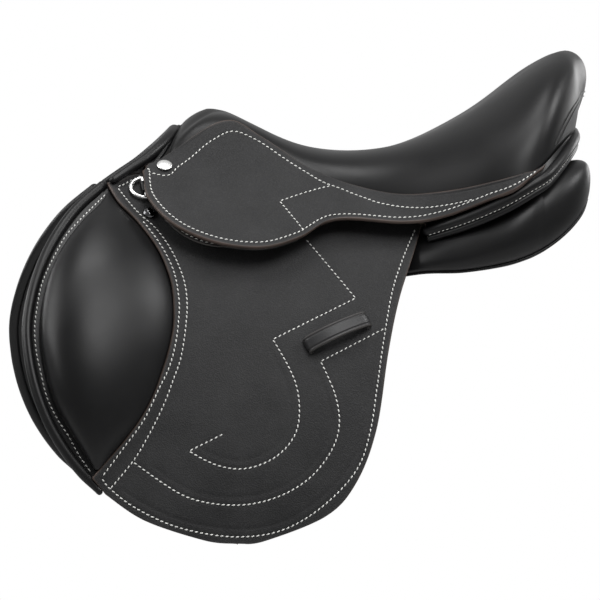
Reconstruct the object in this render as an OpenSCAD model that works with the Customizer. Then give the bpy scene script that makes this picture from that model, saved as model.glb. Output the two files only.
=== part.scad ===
// Jumping saddle with forward-cut flaps, external knee pads and lifting skirts.
// Millimetres. +X runs to the cantle, +Y to the off side, +Z up.
// The origin lies on the centre plane under the lowest point of the seat, where the panels bear.

/* [Seat] */
// Seat size from the saddle nail to the middle of the cantle
seat_size = 432; // [400:4:464]
// Leather of the seat cover
seat_leather = 2.4; // [1.6:0.2:3.2]
// Foam over the waist of the tree
foam_depth = 18; // [14:1:20]
// Diameter of the bead under the cantle
bead_d = 10; // [7:0.5:11]
// Diameter of the thin welt under the bead
welt_d = 5; // [4:0.5:6]
// Diameter of the pommel roll at its peak
roll_d = 14; // [10:1:16]

/* [Flaps] */
// Leather of the flap
flap_t = 4.5; // [3.5:0.5:6]
// Room between flap and sweat flap for the billets
billet_gap = 14; // [13:0.5:18]
// Leather of the sweat flap
sweat_t = 3.5; // [2.5:0.5:4]
// Crown of the knee pad above the flap
pad_height = 32; // [22:1:38]
// Rolled front edge of the flap
edge_roll_d = 11; // [8:0.5:12]
// Cut left between fixed and lifting leather along a bend
bend_gap = 0.5; // [0.4:0.1:1]

/* [Skirts] */
// Leather of the skirt
skirt_t = 4; // [3:0.5:5]
// Lining under the lifting part of the skirt
lining_t = 1.4; // [1:0.2:2]
// How far the skirt's lower edge stands off the flap, inside
skirt_standoff = 21; // [17:1:26]

/* [Straps] */
// Width of a girth billet
billet_w = 27; // [22:1:30]
// Leather of a girth billet
billet_t = 4; // [3:0.5:4.5]
// Girth buckle hole in a billet
billet_hole_d = 5.5; // [4.5:0.5:6.5]
// Spacing of the buckle holes
billet_pitch = 25; // [20:1:28]
// Width of the stirrup leather keeper
keeper_w = 15; // [12:1:20]
// Inside length of the keeper loop
keeper_len = 40; // [32:1:44]
// Inside height of the keeper loop
keeper_rise = 6; // [5:0.5:8]

/* [Metal] */
// Wire of the front dee
dee_wire = 3.5; // [2.5:0.5:4]
// Bend radius of the front dee
dee_r = 14.5; // [12:0.5:16]
// Head of the saddle nail
nail_d = 15; // [12:1:18]
// Dark stud at the top of the flap
stud_d = 11.5; // [8:0.5:12]
// Length of the stirrup bar
bar_len = 62; // [50:1:66]
// Section of the stirrup bar outwards
bar_t = 7; // [5:0.5:7.5]
// Pin of the stirrup bar's catch
catch_pin_d = 2.5; // [2:0.1:3]
// Running clearance of a pin in its bore, on the radius
pin_clear = 0.06; // [0.02:0.01:0.1]

/* [Panels] */
// Width of the channel between the panels
channel_w = 70; // [56:2:80]
// Piping round the lower edge of the panel
piping_d = 4; // [3:0.5:5]

/* [Hidden] */
$fn = 48;
g = seat_size / 432;
// The leather sides lie on cylinders about one lengthwise axis on each side of the saddle.
side_y = 265 * g;
side_z = -260 * g;
side_r = 480 * g;
flap_in = side_r - flap_t;
sweat_out = flap_in - billet_gap;
sweat_in = sweat_out - sweat_t;
layer_a = sweat_out + 1;
layer_b = layer_a + billet_t + 1.5;
wing_out = side_r - 16.5;
wing_in = wing_out - 5.5;
fit = 0.3;

// Curve through a list of points, and its value at a place counted in points.
function cr(a, b, c, d, t) =
    0.5 * (2 * b + (c - a) * t + (2 * a - 5 * b + 4 * c - d) * t * t + (3 * b - a - 3 * c + d) * t * t * t);
function at(p, t) =
    let (n = len(p) - 1, i = max(0, min(floor(t), n - 1)))
    cr(p[max(i - 1, 0)], p[i], p[i + 1], p[min(i + 2, n)], t - i);
function along(p, n) = [for (i = [0:n]) at(p, i * (len(p) - 1) / n)];
function unit(v) = v / norm(v);
function mix(a, b, t) = a + (b - a) * t;
function flat(l) = [for (a = l) for (b = a) b];
function outward(p) = unit([0, p[1] - side_y, p[2] - side_z]);
// Point at side view place q, measured on the flap's face, carried out to radius r.
function on_side(q, r) =
    let (s = (q[1] - side_z) / side_r)
    [q[0], side_y - r * sqrt(1 - s * s), side_z + r * s];
// Point at side view place q that keeps its height at radius r.
function at_side(q, r) =
    let (h = q[1] - side_z)
    [q[0], side_y - sqrt(r * r - h * h), q[1]];

// Seat ribs from the pommel nose round the near side to the back of the cantle:
// point on the spine, point on the crest, end at the skirt, bulge, share of the foam depth.
seat_ribs = [
    [[-136, 0, 159.5], [-146, 0, 158], [-164, 0, 144], 1, 0.35],
    [[-133, 0, 160.5], [-145, -12, 156.5], [-175, -30, 128], 1, 0.35],
    [[-130, 0, 161], [-142, -18, 155.5], [-195, -66, 103], 1, 0.35],
    [[-126, 0, 161], [-134, -18, 157], [-150, -54, 135], 1, 0.4],
    [[-116, 0, 159.5], [-117, -15, 158], [-119, -50, 148], 1, 0.45],
    [[-92, 0, 147.5], [-92, -14, 146.5], [-92, -53, 138], 1, 0.6],
    [[-66, 0, 134], [-66, -14, 133.5], [-68, -58, 123], 1, 0.8],
    [[-36, 0, 123.5], [-37, -14, 123], [-43, -66, 105], 1, 1],
    [[0, 0, 119.5], [0, -16, 119], [-4, -78, 86], 1, 1],
    [[36, 0, 120], [38, -36, 122.5], [43, -97, 75], 1, 1],
    [[70, 0, 122], [70, -72, 134.5], [89, -122, 77], 2, 1],
    [[102, 0, 127], [104, -90, 155], [134, -143, 87], 4, 1],
    [[130, 0, 134], [140, -95, 179], [164, -144, 97], 7, 1],
    [[148, 0, 140], [176, -86, 205], [192, -122, 112], 11, 1],
    [[160, 0, 145], [206, -50, 216.5], [222, -62, 131], 14, 1],
    [[166, 0, 148], [221, 0, 219.5], [231, 0, 138], 16, 1]
];
last_rib = len(seat_ribs) - 1;
spine = [for (r = seat_ribs) g * r[0]];
crest = [for (r = seat_ribs) g * r[1]];
seam = [for (r = seat_ribs) g * r[2]];
bulge = [for (r = seat_ribs) g * r[3]];
foam_share = [for (r = seat_ribs) r[4]];
// The cover runs on under the skirt, and ends level with the bead at the back.
function tuck(t) = 10 * g * max(0, min(1, 13 - t)) * max(0.2, min(1, t - 1));
function rim(t) = at(seam, t) - [0, 0, tuck(t)];
function rib_way(t) =
    let (d = rim(t) - at(spine, t))
    unit([d[0], d[1], 0]);
// Rib t from spine (v = 0) over the crest to the rim (v = 1), set in by d.
function seat_pt(t, v, d) =
    let (s = at(spine, t), k = at(crest, t), e = rim(t), w = v / 0.4, a = 90 * (v - 0.4) / 0.6)
    v < 0.4
    ? [mix(s[0], k[0], w), mix(s[1], k[1], w), mix(s[2], k[2], w * w * (3 - 2 * w)) - d]
    : let (q = mix(k, e, sin(a)) + rib_way(t) * (at(bulge, t) * sin(2 * a) - d * sin(a)))
      [q[0], q[1], mix(e[2], k[2] - d, cos(a))];
function seat_grid(nt, nv, d0, share) = [
    for (i = [0:nt])
        let (t = i * last_rib / nt, d = d0 + share * foam_depth * at(foam_share, t))
        [for (j = [-nv:nv]) let (p = seat_pt(t, abs(j) / nv, d)) [p[0], j < 0 ? p[1] : -p[1], p[2]]]
];

// Solid between two grids of points; ends closes the first and last rows.
module sheet(a, b, ends = true) {
    nr = len(a);
    nc = len(a[0]);
    n = nr * nc;
    skin = [
        for (i = [0:nr - 2]) for (j = [0:nc - 2])
            let (p = i * nc + j)
            each [[p, p + 1, p + nc + 1], [p, p + nc + 1, p + nc]]
    ];
    back = [for (f = skin) [f[2] + n, f[1] + n, f[0] + n]];
    rims = [
        for (i = [0:nr - 2]) for (j = [0, nc - 1])
            let (p = i * nc + j, q = p + nc)
            each (j == 0 ? [[p, q, q + n], [p, q + n, p + n]] : [[q, p, p + n], [q, p + n, q + n]])
    ];
    caps = [
        for (i = [0, nr - 1]) for (j = [0:nc - 2])
            let (p = i * nc + j, q = p + 1)
            each (i == 0 ? [[q, p, p + n], [q, p + n, q + n]] : [[p, q, q + n], [p, q + n, p + n]])
    ];
    polyhedron(concat(flat(a), flat(b)), concat(skin, back, rims, ends ? caps : []));
}

// Solid through closed rings of points.
module loft(rings) {
    nr = len(rings);
    nc = len(rings[0]);
    skin = [
        for (i = [0:nr - 2]) for (j = [0:nc - 1])
            let (p = i * nc + j, q = i * nc + (j + 1) % nc)
            each [[p, q, q + nc], [p, q + nc, p + nc]]
    ];
    first = [for (j = [1:nc - 2]) [0, j + 1, j]];
    end = [for (j = [1:nc - 2]) [0, j, j + 1] + (nr - 1) * nc * [1, 1, 1]];
    polyhedron(flat(rings), concat(skin, first, end));
}

// Round cord of radius list r along a path.
module cord(path, r, sides) {
    n = len(path) - 1;
    loft([
        for (i = [0:n])
            let (
                way = unit(path[min(i + 1, n)] - path[max(i - 1, 0)]),
                side = unit(cross(way, [0.1, 0.2, 1])),
                up = cross(side, way)
            )
            [for (k = [0:sides - 1]) path[i] + r[i] * (side * cos(360 * k / sides) + up * sin(360 * k / sides))]
    ]);
}

// A leather sheet on the side: outline in side view between two radii.
module side_tube(r_in, r_out) {
    translate([-600, side_y, side_z])
        rotate([0, 90, 0])
            difference() {
                cylinder(r = r_out, h = 1200, $fn = 360);
                translate([0, 0, -1])
                    cylinder(r = r_in, h = 1202, $fn = 360);
            }
}
module through() {
    rotate([90, 0, 0])
        linear_extrude(420 * g)
            children();
}
// Local frame on the flap's face: X to the rear, Z up the leather, -Y outward.
module place(x, z, d = 0) {
    translate([x, side_y, side_z])
        rotate([-asin((z - side_z) / side_r), 0, 0])
            translate([0, -side_r - d, 0])
                children();
}
module off() {
    mirror([0, 1, 0])
        children();
}
module both() {
    children();
    off()
        children();
}

// Tree
head_x = -149 * g;
head_deep = 21 * g;
head_z = 97 * g;
head_out = 45 * g;
head_in = 33 * g;
plate_t = 3;
rivet_r = 3;
rivet_angles = [40, 80, 100, 140];
leg_foot = [-66, 41] * g;
module arch(r_out, r_in) {
    difference() {
        translate([0, head_z])
            circle(r_out);
        translate([0, head_z])
            circle(r_in);
        translate([-2 * r_out, head_z - 2 * r_out])
            square([4 * r_out, 2 * r_out]);
    }
}
module head_leg() {
    polygon([
        [-head_out, head_z], [1 - head_out, head_z + 4], [-1 - head_in, head_z + 4], [-head_in, head_z],
        leg_foot + [head_out - head_in, -2], leg_foot
    ]);
}
module stand(x, deep) {
    translate([x, 0, 0])
        rotate([90, 0, 90])
            linear_extrude(deep)
                children();
}
module rivet_holes(r) {
    for (a = rivet_angles)
        translate([head_x - 20, (head_out + head_in) / 2 * cos(a), head_z + (head_out + head_in) / 2 * sin(a)])
            rotate([0, 90, 0])
                cylinder(r = r, h = 60);
}
module tree_head() {
    color("#8a6a45")
        difference() {
            union() {
                stand(head_x, head_deep)
                    arch(head_out, head_in);
                both()
                    stand(head_x, head_deep)
                        head_leg();
            }
            rivet_holes(rivet_r + 0.02);
        }
}
module head_plate() {
    color("#70757a")
        difference() {
            stand(head_x - plate_t, plate_t)
                arch(head_out - 1, head_in + 1);
            rivet_holes(rivet_r + 0.02);
        }
}
module tree_rivets() {
    color("#9a9da0")
        for (a = rivet_angles)
            translate([head_x - plate_t, (head_out + head_in) / 2 * cos(a), head_z + (head_out + head_in) / 2 * sin(a)])
                rotate([0, 90, 0]) {
                    cylinder(r = rivet_r, h = head_deep + plate_t);
                    translate([0, 0, -2])
                        cylinder(r = rivet_r + 2, h = 2);
                }
}
// Rails and cantle in one bent frame, square section, its ends butted on the head.
rail_from = 4.7;
rail_h = 12 * g;
// Underside of the seat's web, which lies under the foam and on the rails.
web_from = 3.6;
web_to = 13.6;
web_strap_t = 1.6;
web_room = 3.8;
function web_z(t) =
    at(spine, t)[2] - seat_leather - foam_depth * at(foam_share, t) - web_room - web_strap_t;
function rail_top(t, k) =
    let (z = rim(t)[2] + mix(-1, 8, max(0, 2 * k - 1)) * g)
    t < web_to ? min(z, web_z(t) - fit) : z;
function rail_at(t, s, h) =
    let (
        k = max(0, min(1, (t - 9) / 2.5)),
        w = mix(13, 7, k) * g,
        c = mix(27, 39, k) * g,
        p = rim(t) - rib_way(t) * (c - s * w),
        low = min(rim(t)[2] - 1 * g, rail_top(t, k)) - rail_h
    )
    [p[0], p[1], h > 0 ? rail_top(t, k) : low];
module tree_frame() {
    n = 24;
    near = [
        for (i = [0:n])
            let (t = rail_from + (last_rib - rail_from) * i / n)
            [rail_at(t, -1, 0), rail_at(t, 1, 0), rail_at(t, 1, 1), rail_at(t, -1, 1)]
    ];
    butt = [for (p = near[0]) [head_x + head_deep + fit, p[1], p[2]]];
    rings = concat([butt], near);
    far = [for (i = [n:-1:0]) [for (p = rings[i]) [p[0], -p[1], p[2]]]];
    color("#8a6a45")
        loft(concat(rings, far));
}
// Side of the tree that carries the stirrup bar.
wing_x = [head_x + head_deep + fit, -58 * g];
wing_z = [46, 90] * g;
// Ledge on which the top of the flap is nailed.
ledge_z = [79, 85] * g;
module near_tree_wing() {
    color("#7b5f3f") {
        wing_band(wing_z, wing_out);
        wing_band(ledge_z, flap_in - fit);
    }
}
module wing_band(z, r_out) {
    intersection() {
        through()
            translate([wing_x[0], z[0]])
                square([wing_x[1] - wing_x[0], z[1] - z[0]]);
        side_tube(wing_in, r_out);
    }
}

// Seat
module seat_web() {
    row = function (up) [
        for (i = [0:20])
            let (t = mix(web_from, web_to, i / 20))
            [for (y = [-20, 0, 20]) [at(spine, t)[0], y * g, web_z(t) + up]]
    ];
    color("#b9ab8d")
        sheet(row(web_strap_t), row(0));
}
module seat_foam() {
    color("#d9cfa8")
        sheet(seat_grid(30, 8, seat_leather + fit, 0), seat_grid(30, 8, seat_leather + fit, 1), false);
}
module seat_cover() {
    color("#1c1c1f")
        sheet(seat_grid(30, 8, 0, 0), seat_grid(30, 8, seat_leather, 0), false);
}
roll_path = g * [[-171, 0, 138], [-177, -16, 132], [-188, -32, 122], [-204, -49, 109], [-221, -62, 98], [-236, -71, 88]];
module front_roll() {
    n = 14;
    half = along(roll_path, n);
    full = concat([for (i = [n:-1:1]) half[i]], [for (p = half) [p[0], -p[1], p[2]]]);
    size = [for (i = [-n:n]) mix(roll_d / 2, 4, abs(i) / n)];
    color("#232326")
        cord(full, size, 10);
}
// Leather between the seat's front edge and the roll, and the lining of the arch behind it.
facing_t = 2;
function mirrored(rows, n) = concat([for (i = [n:-1:1]) rows[i]], [for (r = rows) [for (p = r) [p[0], -p[1], p[2]]]]);
facing = [
    for (i = [5:8])
        let (s = i / 8, a = rim(2 * s) + [-1.2, 0, 0], b = at(roll_path, 3.4 * s), c = mix(roll_d / 2, 4, 0.6 * s) + 0.8)
        [a, b + unit(a - b) * min(c, norm(a - b) - 1)]
];
module pommel_facing() {
    back = [for (r = facing) [for (p = r) p + [-0.5, 0, -facing_t]]];
    color("#232326")
        both()
            sheet(back, facing);
}
lining_half = [
    for (i = [0:10])
        let (a = 90 - 8 * i, r = head_in - 2.5, b = at(roll_path, 4 * i / 10), w = mix(roll_d / 2, 4, 0.8 * i / 10) + 0.8)
        [
            b + w * unit([0.2, b[1] < -1 ? 0.4 : 0, -1]),
            [head_x - plate_t - 4, -r * cos(a), head_z + r * sin(a)],
            [head_x + head_deep, -r * cos(a), head_z + r * sin(a)]
        ]
];
module gullet_lining() {
    face = mirrored(lining_half, 10);
    back = [for (r = face) [for (p = r) p - facing_t * unit([0, p[1], p[2] - head_z + 40])]];
    color("#2b2b2e")
        sheet(back, face);
}
bead_path = g * [
    [67, -121, 38], [100, -138, 49], [132, -150, 63], [160, -151, 79], [182, -143, 93],
    [207, -108, 114], [222, -62, 122], [232, 0, 130]
];
// Path moved down square to itself.
function below(p, d) = [
    for (i = [0:len(p) - 1])
        let (w = unit(p[min(i + 1, len(p) - 1)] - p[max(i - 1, 0)]))
        p[i] - d * unit([0, 0, 1] - w * w[2])
];
module cantle_cord(path, d, sides) {
    n = 18;
    half = along(path, n);
    full = concat(half, [for (i = [n - 1:-1:0]) [half[i][0], -half[i][1], half[i][2]]]);
    cord(full, [for (p = full) d / 2], sides);
}
module cantle_bead() {
    color("#1f1f22")
        cantle_cord(bead_path, bead_d, 10);
}
module cantle_welt() {
    color("#1f1f22")
        cantle_cord(below(bead_path, (bead_d + welt_d) / 2 + fit), welt_d, 8);
}

// Skirt: upper edge lies on the seat, lower edge is given in side view with its radius.
skirt_low = [
    [-208, 97, 16], [-205, 72, 18], [-180, 45, 22], [-141, 28, 25], [-98, 23.5, 25], [-61, 33, 24],
    [-22, 51, 21], [42, 48, 22], [80, 53, 28], [122, 69, 50], [155, 84, 66], [203, 118, 65]
];
skirt_first = 2;
skirt_last = 12.45;
lobe_from = 2.25;
lobe_to = 8.2;
function low_edge(t) =
    let (q = at(skirt_low, t - skirt_first))
    at_side([q[0], q[1]] * g, side_r + q[2] * g + (skirt_standoff - 21) + (skirt_t - 4));
function top_edge(t) =
    let (p = rim(t) + [0, 0, tuck(t)])
    p + outward(p) * (skirt_t + 2 * fit + 1.5 * max(0, min(1, t - 11)));
bend_a = at_side([-209, 93.5] * g, side_r + 17 * g + (skirt_standoff - 21) + (skirt_t - 4));
bend_b = at_side([-8, 55] * g, side_r + 21 * g + (skirt_standoff - 21) + (skirt_t - 4));
function bend_at(t) = mix(bend_a, bend_b, (t - lobe_from) / (lobe_to - lobe_from));
function skirt_edge(t) = t > lobe_from - 0.01 && t < lobe_to + 0.01 ? bend_at(t) : low_edge(t);
skirt_stations = concat(
    [2, 2.12], [for (i = [0:14]) mix(lobe_from, lobe_to, i / 14)], [for (i = [0:9]) mix(lobe_to + 0.15, skirt_last, i / 9)]
);
lobe_stations = [for (i = [0:16]) mix(lobe_from + 0.15, lobe_to - 0.2, i / 16)];
function inside_of(grid, d) = [for (row = grid) [for (p = row) p - outward(p) * d]];
skirt_face = [for (t = skirt_stations) [for (v = [0, 0.33, 0.67, 1]) mix(top_edge(t), skirt_edge(t), v)]];
lobe_face = [
    for (t = lobe_stations)
        [for (v = [0, 0.5, 1]) mix(bend_at(t) + [0, 0, -bend_gap], low_edge(t), v)]
];
module near_skirt() {
    color("#3a3b3e")
        sheet(inside_of(skirt_face, skirt_t), skirt_face);
}
module near_skirt_lobe() {
    color("#3a3b3e")
        sheet(inside_of(lobe_face, skirt_t), lobe_face);
}
lining_face = [
    for (i = [2:13])
        let (t = lobe_stations[i], a = bend_at(t), b = low_edge(t), drop = 4 * g * max(0, 1 - pow((i - 4.5) / 3, 2)))
        [for (v = [0.2, 1]) mix(a, b, v) - outward(b) * (skirt_t + 2 * fit) - [0, 0, v > 0.9 ? drop : 0]]
];
module near_skirt_lining() {
    color("#2b2b2e")
        sheet(inside_of(lining_face, lining_t), lining_face);
}
// Nail through the top of the skirt.
function skirt_pt(t, v) = mix(top_edge(t), skirt_edge(t), v);
nail_t = 2.42;
nail_v = 0.42;
nail_foot = skirt_pt(nail_t, nail_v);
nail_x = unit(skirt_pt(nail_t + 0.1, nail_v) - skirt_pt(nail_t - 0.1, nail_v));
nail_out = unit(cross(skirt_pt(nail_t, nail_v + 0.1) - nail_foot, nail_x));
module near_saddle_nail() {
    n = nail_out[1] < 0 ? nail_out : -nail_out;
    color("#d8d9da")
        translate(nail_foot + n * 0.7)
            rotate([0, 0, atan2(n[1], n[0])])
                rotate([0, acos(n[2]), 0])
                    rotate_extrude()
                        polygon(concat(
                            [[0, 0], [nail_d / 2, 0]],
                            [for (a = [0:10:80]) [nail_d / 2 * cos(a), 0.6 + 2.6 * sin(a)]],
                            [[0, 3.2]]
                        ));
}

// Flap outline in side view, from the top of the front edge down, round the bottom and up the rear.
flap_front = [
    [-244, 79], [-270, 57], [-289, 33], [-303, 8], [-314, -22], [-320, -54], [-318, -86], [-311, -117],
    [-299, -147], [-283, -173], [-265, -195]
];
flap_low = [
    [-252, -211], [-215, -236], [-159, -255], [-102, -256], [-44, -233], [-15, -202], [4, -152], [17, -79],
    [31, -27], [52, 20], [62, 44]
];
flap_top_edge = [[40, 57], [-20, 70], [-90, 82], [-160, 88], [-205, 93], [-230, 81]];
flap_outline = g * concat(along(flap_front, 24), along(flap_low, 30), flap_top_edge);
bend_f = [-249, 80] * g;
bend_r = [44, -46] * g;
function bend_z(x) = bend_f[1] + (x - bend_f[0]) * (bend_r[1] - bend_f[1]) / (bend_r[0] - bend_f[0]);
module half(up) {
    x = 450 * g;
    d = up ? bend_gap / 2 : -bend_gap / 2;
    polygon([[-x, bend_z(-x) + d], [x, bend_z(x) + d], [x, up ? x : -x], [-x, up ? x : -x]]);
}
bar_x = -98 * g;
bar_z = 66 * g;
window = [bar_len + 22, 28 * g];
module near_flap_top() {
    color("#3a3b3e")
        intersection() {
            through()
                difference() {
                    intersection() {
                        polygon(flap_outline);
                        half(true);
                    }
                    translate([bar_x - window[0] / 2, bar_z - 2 * g - window[1] / 2])
                        square(window);
                }
            side_tube(flap_in, side_r);
        }
}
module near_flap() {
    color("#3a3b3e")
        intersection() {
            through()
                intersection() {
                    polygon(flap_outline);
                    half(false);
                }
            side_tube(flap_in, side_r);
        }
}
edge_line = along(flap_front, 28);
edge_roll_path = [
    for (i = [0:28])
        let (d = unit(edge_line[min(i + 1, 28)] - edge_line[max(i - 1, 0)]))
        at_side(g * edge_line[i] + (edge_roll_d / 2 + fit) * [d[1], -d[0]], side_r - flap_t / 2)
];
module near_edge_roll() {
    color("#1f1f22")
        cord(edge_roll_path, [for (p = edge_roll_path) edge_roll_d / 2], 8);
}
// Knee pad: front and rear edge at each height, with a crown that swells between them.
pad_edges = [
    [76, -243, -240], [62, -257, -231], [44, -272, -214], [20, -288, -198], [-6, -300, -188], [-34, -308, -184],
    [-64, -309, -187], [-94, -306, -196], [-122, -298, -207], [-148, -286, -223], [-172, -271, -243], [-188, -262, -256]
];
pad_crown = [0.1, 0.42, 0.68, 0.86, 0.96, 1, 1, 0.95, 0.86, 0.7, 0.46, 0.12];
module near_knee_pad() {
    ns = 24;
    nv = 8;
    place_at = function (h) [
        for (i = [0:ns])
            let (t = i * (len(pad_edges) - 1) / ns, e = at(pad_edges, t), c = at(pad_crown, t))
            [
                for (j = [0:nv])
                    let (u = 2 * j / nv - 1, top = 3 + (pad_height - 3) * c * pow(1 - pow(abs(u), 2.6), 0.6))
                    on_side(g * [mix(e[1], e[2], j / nv), e[0]], side_r + fit + h * top)
            ]
    ];
    color("#1c1c1f")
        sheet(place_at(1), place_at(0));
}
// Stirrup leather keeper: a strap with two sewn feet and a raised bridge.
keeper_at = [-28, -61] * g;
keeper_turn = -25;
strap = 3;
module near_keeper() {
    foot = 10;
    l = keeper_len / 2;
    color("#2e2e31")
        place(keeper_at[0], keeper_at[1], fit + 0.2)
            rotate([0, keeper_turn, 0])
                translate([0, 0, -keeper_w / 2])
                    linear_extrude(keeper_w)
                        polygon([
                            [-l - foot, 0], [-l + 1, 0], [-l + 3, -keeper_rise], [l - 3, -keeper_rise], [l - 1, 0],
                            [l + foot, 0], [l + foot, -strap], [l + 2, -strap], [l, -keeper_rise - strap],
                            [-l, -keeper_rise - strap], [-l - 2, -strap], [-l - foot, -strap]
                        ]);
}
stud_at = [-203, 55] * g;
module near_flap_stud() {
    color("#26262a")
        place(stud_at[0], stud_at[1], 0.1)
            rotate([90, 0, 0])
                rotate_extrude()
                    polygon(concat(
                        [[0, 0], [stud_d / 2, 0]],
                        [for (a = [0:10:80]) [stud_d / 2 * cos(a), 0.5 + 3 * sin(a)]],
                        [[0, 3.5]]
                    ));
}

// Front dee on its chape.
dee_at = [-206, 78] * g;
dee_turn = -8;
dee_up = 3.6;
chape = [18, 13, 6.4];
module dee_frame() {
    place(dee_at[0], dee_at[1], dee_up)
        rotate([0, dee_turn, 0])
            children();
}
module near_dee() {
    color("#cfd0d2")
        dee_frame() {
            translate([0, 0, -dee_r])
                cylinder(d = dee_wire, h = 2 * dee_r);
            for (s = [-1, 1])
                translate([0, 0, s * dee_r])
                    sphere(d = dee_wire);
            rotate([90, 0, 0])
                rotate_extrude(angle = 180, start = 90)
                    translate([dee_r, 0])
                        circle(d = dee_wire);
        }
}
module near_chape() {
    color("#2e2e31")
        dee_frame()
            difference() {
                translate([-chape[2] / 2, -chape[2] / 2, -chape[1] / 2])
                    cube([chape[0], chape[2], chape[1]]);
                translate([0, 0, -chape[1]])
                    cylinder(d = dee_wire + 2 * pin_clear, h = 2 * chape[1]);
            }
}

// Stirrup bar, riveted to the tree, with a hinged catch at its open rear end.
bar_plate_t = 3;
bar_h = 12;
bar_foot = wing_out - side_r + fit;
bar_out = 7.5;
catch_len = 13;
bar_front = -bar_len / 2;
module near_stirrup_bar() {
    mid = bar_out - bar_t / 2;
    color("#aeb1b4")
        place(bar_x, bar_z)
            difference() {
                union() {
                    translate([bar_front - 6, -bar_foot - bar_plate_t, -11])
                        cube([bar_len + 8, bar_plate_t, 22]);
                    translate([bar_front - 6, -bar_out, -bar_h / 2])
                        cube([11, bar_out - bar_foot, bar_h]);
                    translate([bar_front, -bar_out, -bar_h / 2])
                        cube([bar_len - catch_len, bar_t, bar_h]);
                }
                translate([bar_len / 2 - catch_len - 5.5, -bar_out - 1, -3])
                    cube([20, bar_t + 2, 6]);
                translate([bar_len / 2 - catch_len - 2.8, -mid, -bar_h])
                    cylinder(d = catch_pin_d + 0.04, h = 2 * bar_h);
            }
}
module near_catch_pin() {
    color("#cfd0d2")
        place(bar_x, bar_z)
            translate([bar_len / 2 - catch_len - 2.8, -bar_out + bar_t / 2, -bar_h / 2])
                cylinder(d = catch_pin_d, h = bar_h);
}
module near_bar_catch() {
    mid = bar_out - bar_t / 2;
    color("#b8babd")
        place(bar_x, bar_z)
            translate([bar_len / 2 - catch_len - 2.8, -mid, -2.6])
                difference() {
                    union() {
                        cylinder(d = catch_pin_d + 2.6, h = 5.2);
                        translate([0, -1.6, 0])
                            cube([catch_len - 2, 3.2, 5.2]);
                    }
                    translate([0, 0, -1])
                        cylinder(d = catch_pin_d + 2 * pin_clear, h = 8);
                }
}

// Sweat flap under the billets.
sweat_outline = g * along([
    [-225, 40], [-262, 20], [-286, -20], [-294, -70], [-284, -120], [-258, -168], [-215, -200], [-150, -215],
    [-85, -210], [-40, -180], [-14, -120], [2, -60], [16, 0], [22, 40]
], 40);
module near_sweat_flap() {
    color("#2b2b2e")
        intersection() {
            through()
                polygon(sweat_outline);
            side_tube(sweat_in, sweat_out);
        }
}
// Girth billets, each turning a little on its rivet in the web.
billets = [
    [[-96, 36], [-96, -198], layer_a],
    [[-62, 38], [-62, -200], layer_b],
    [[-28, 34], [-28, -190], layer_a]
];
billet_rivet_r = 3;
function billet_turn(b) = atan2(b[1][0] - b[0][0], b[0][1] - b[1][1]);
module billet(i) {
    b = billets[i];
    l = norm(b[1] - b[0]) * g;
    color("#2e2e31")
        difference() {
            intersection() {
                through()
                    translate(b[0] * g)
                        rotate(billet_turn(b))
                            difference() {
                                polygon([
                                    [-billet_w / 2, 4], [billet_w / 2, 4], [billet_w / 2, -l + 12],
                                    [billet_w / 5, -l], [-billet_w / 5, -l], [-billet_w / 2, -l + 12]
                                ]);
                                for (k = [0:4])
                                    translate([0, -l + 26 + k * billet_pitch])
                                        circle(d = billet_hole_d);
                            }
                side_tube(b[2], b[2] + billet_t);
            }
            billet_pin(i, billet_rivet_r + pin_clear);
        }
}
module billet_pin(i, r) {
    place(billets[i][0][0] * g, billets[i][0][1] * g)
        rotate([-90, 0, 0])
            translate([0, 0, side_r - layer_b - billet_t - 0.6])
                cylinder(r = r, h = layer_b - layer_a + billet_t + 1.2);
}
module near_billet_rivets() {
    color("#9a9da0")
        for (i = [0:2])
            billet_pin(i, billet_rivet_r);
}
web_t = 0.9;
module near_girth_web() {
    color("#b9ab8d")
        difference() {
            intersection() {
                through()
                    polygon(g * [[-114, 20], [-8, 18], [26, 42], [26, 58], [-30, 68], [-50, 68], [-60, 58], [-62, 42], [-114, 42]]);
                side_tube(layer_a + billet_t + fit, layer_a + billet_t + fit + web_t);
            }
            for (i = [0:2])
                billet_pin(i, billet_rivet_r + 0.02);
        }
}

// Panel: sections along the saddle, each through four corners with a soft outline.
// Station, inner top, outer top, inner bottom, outer bottom, as y and z.
panel_rows = [
    [-192, [-40, 38], [-60, 26], [-42, 22], [-68, 12]],
    [-175, [-37, 46], [-64, 27], [-40, 8], [-95, -38]],
    [-130, [-36, 50], [-62, 34], [-39, 2], [-106, -60]],
    [-80, [-35, 56], [-60, 40], [-38, 6], [-110, -56]],
    [-30, [-35, 60], [-58, 44], [-37, 12], [-110, -40]],
    [15, [-35, 58], [-68, 38], [-37, 14], [-116, -24]],
    [60, [-35, 56], [-106, 24], [-37, 12], [-137, -8]],
    [100, [-35, 60], [-134, 36], [-37, 12], [-150, -3]],
    [140, [-35, 70], [-148, 54], [-38, 18], [-153, 4]],
    [170, [-36, 82], [-147, 72], [-40, 28], [-148, 13]],
    [195, [-38, 96], [-130, 89], [-43, 42], [-133, 27]],
    [213, [-42, 106], [-110, 101], [-48, 58], [-113, 44]],
    [225, [-50, 109], [-94, 106], [-56, 70], [-99, 60]],
    [231, [-62, 102], [-82, 99], [-66, 82], [-84, 78]]
];
widen = (channel_w - 70) / 2;
function soft(a, p) = sign(a) * pow(abs(a), p);
function panel_pt(t, a, p) =
    let (
        x = at([for (r = panel_rows) r[0]], t),
        c = [for (k = [1:4]) at([for (r = panel_rows) r[k]], t)],
        u = (1 + soft(cos(a), p)) / 2,
        v = (1 + soft(sin(a), p)) / 2,
        q = mix(mix(c[2], c[3], u), mix(c[0], c[1], u), v)
    )
    [x * g, q[0] * g - widen * (1 - u), q[1] * g];
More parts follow.
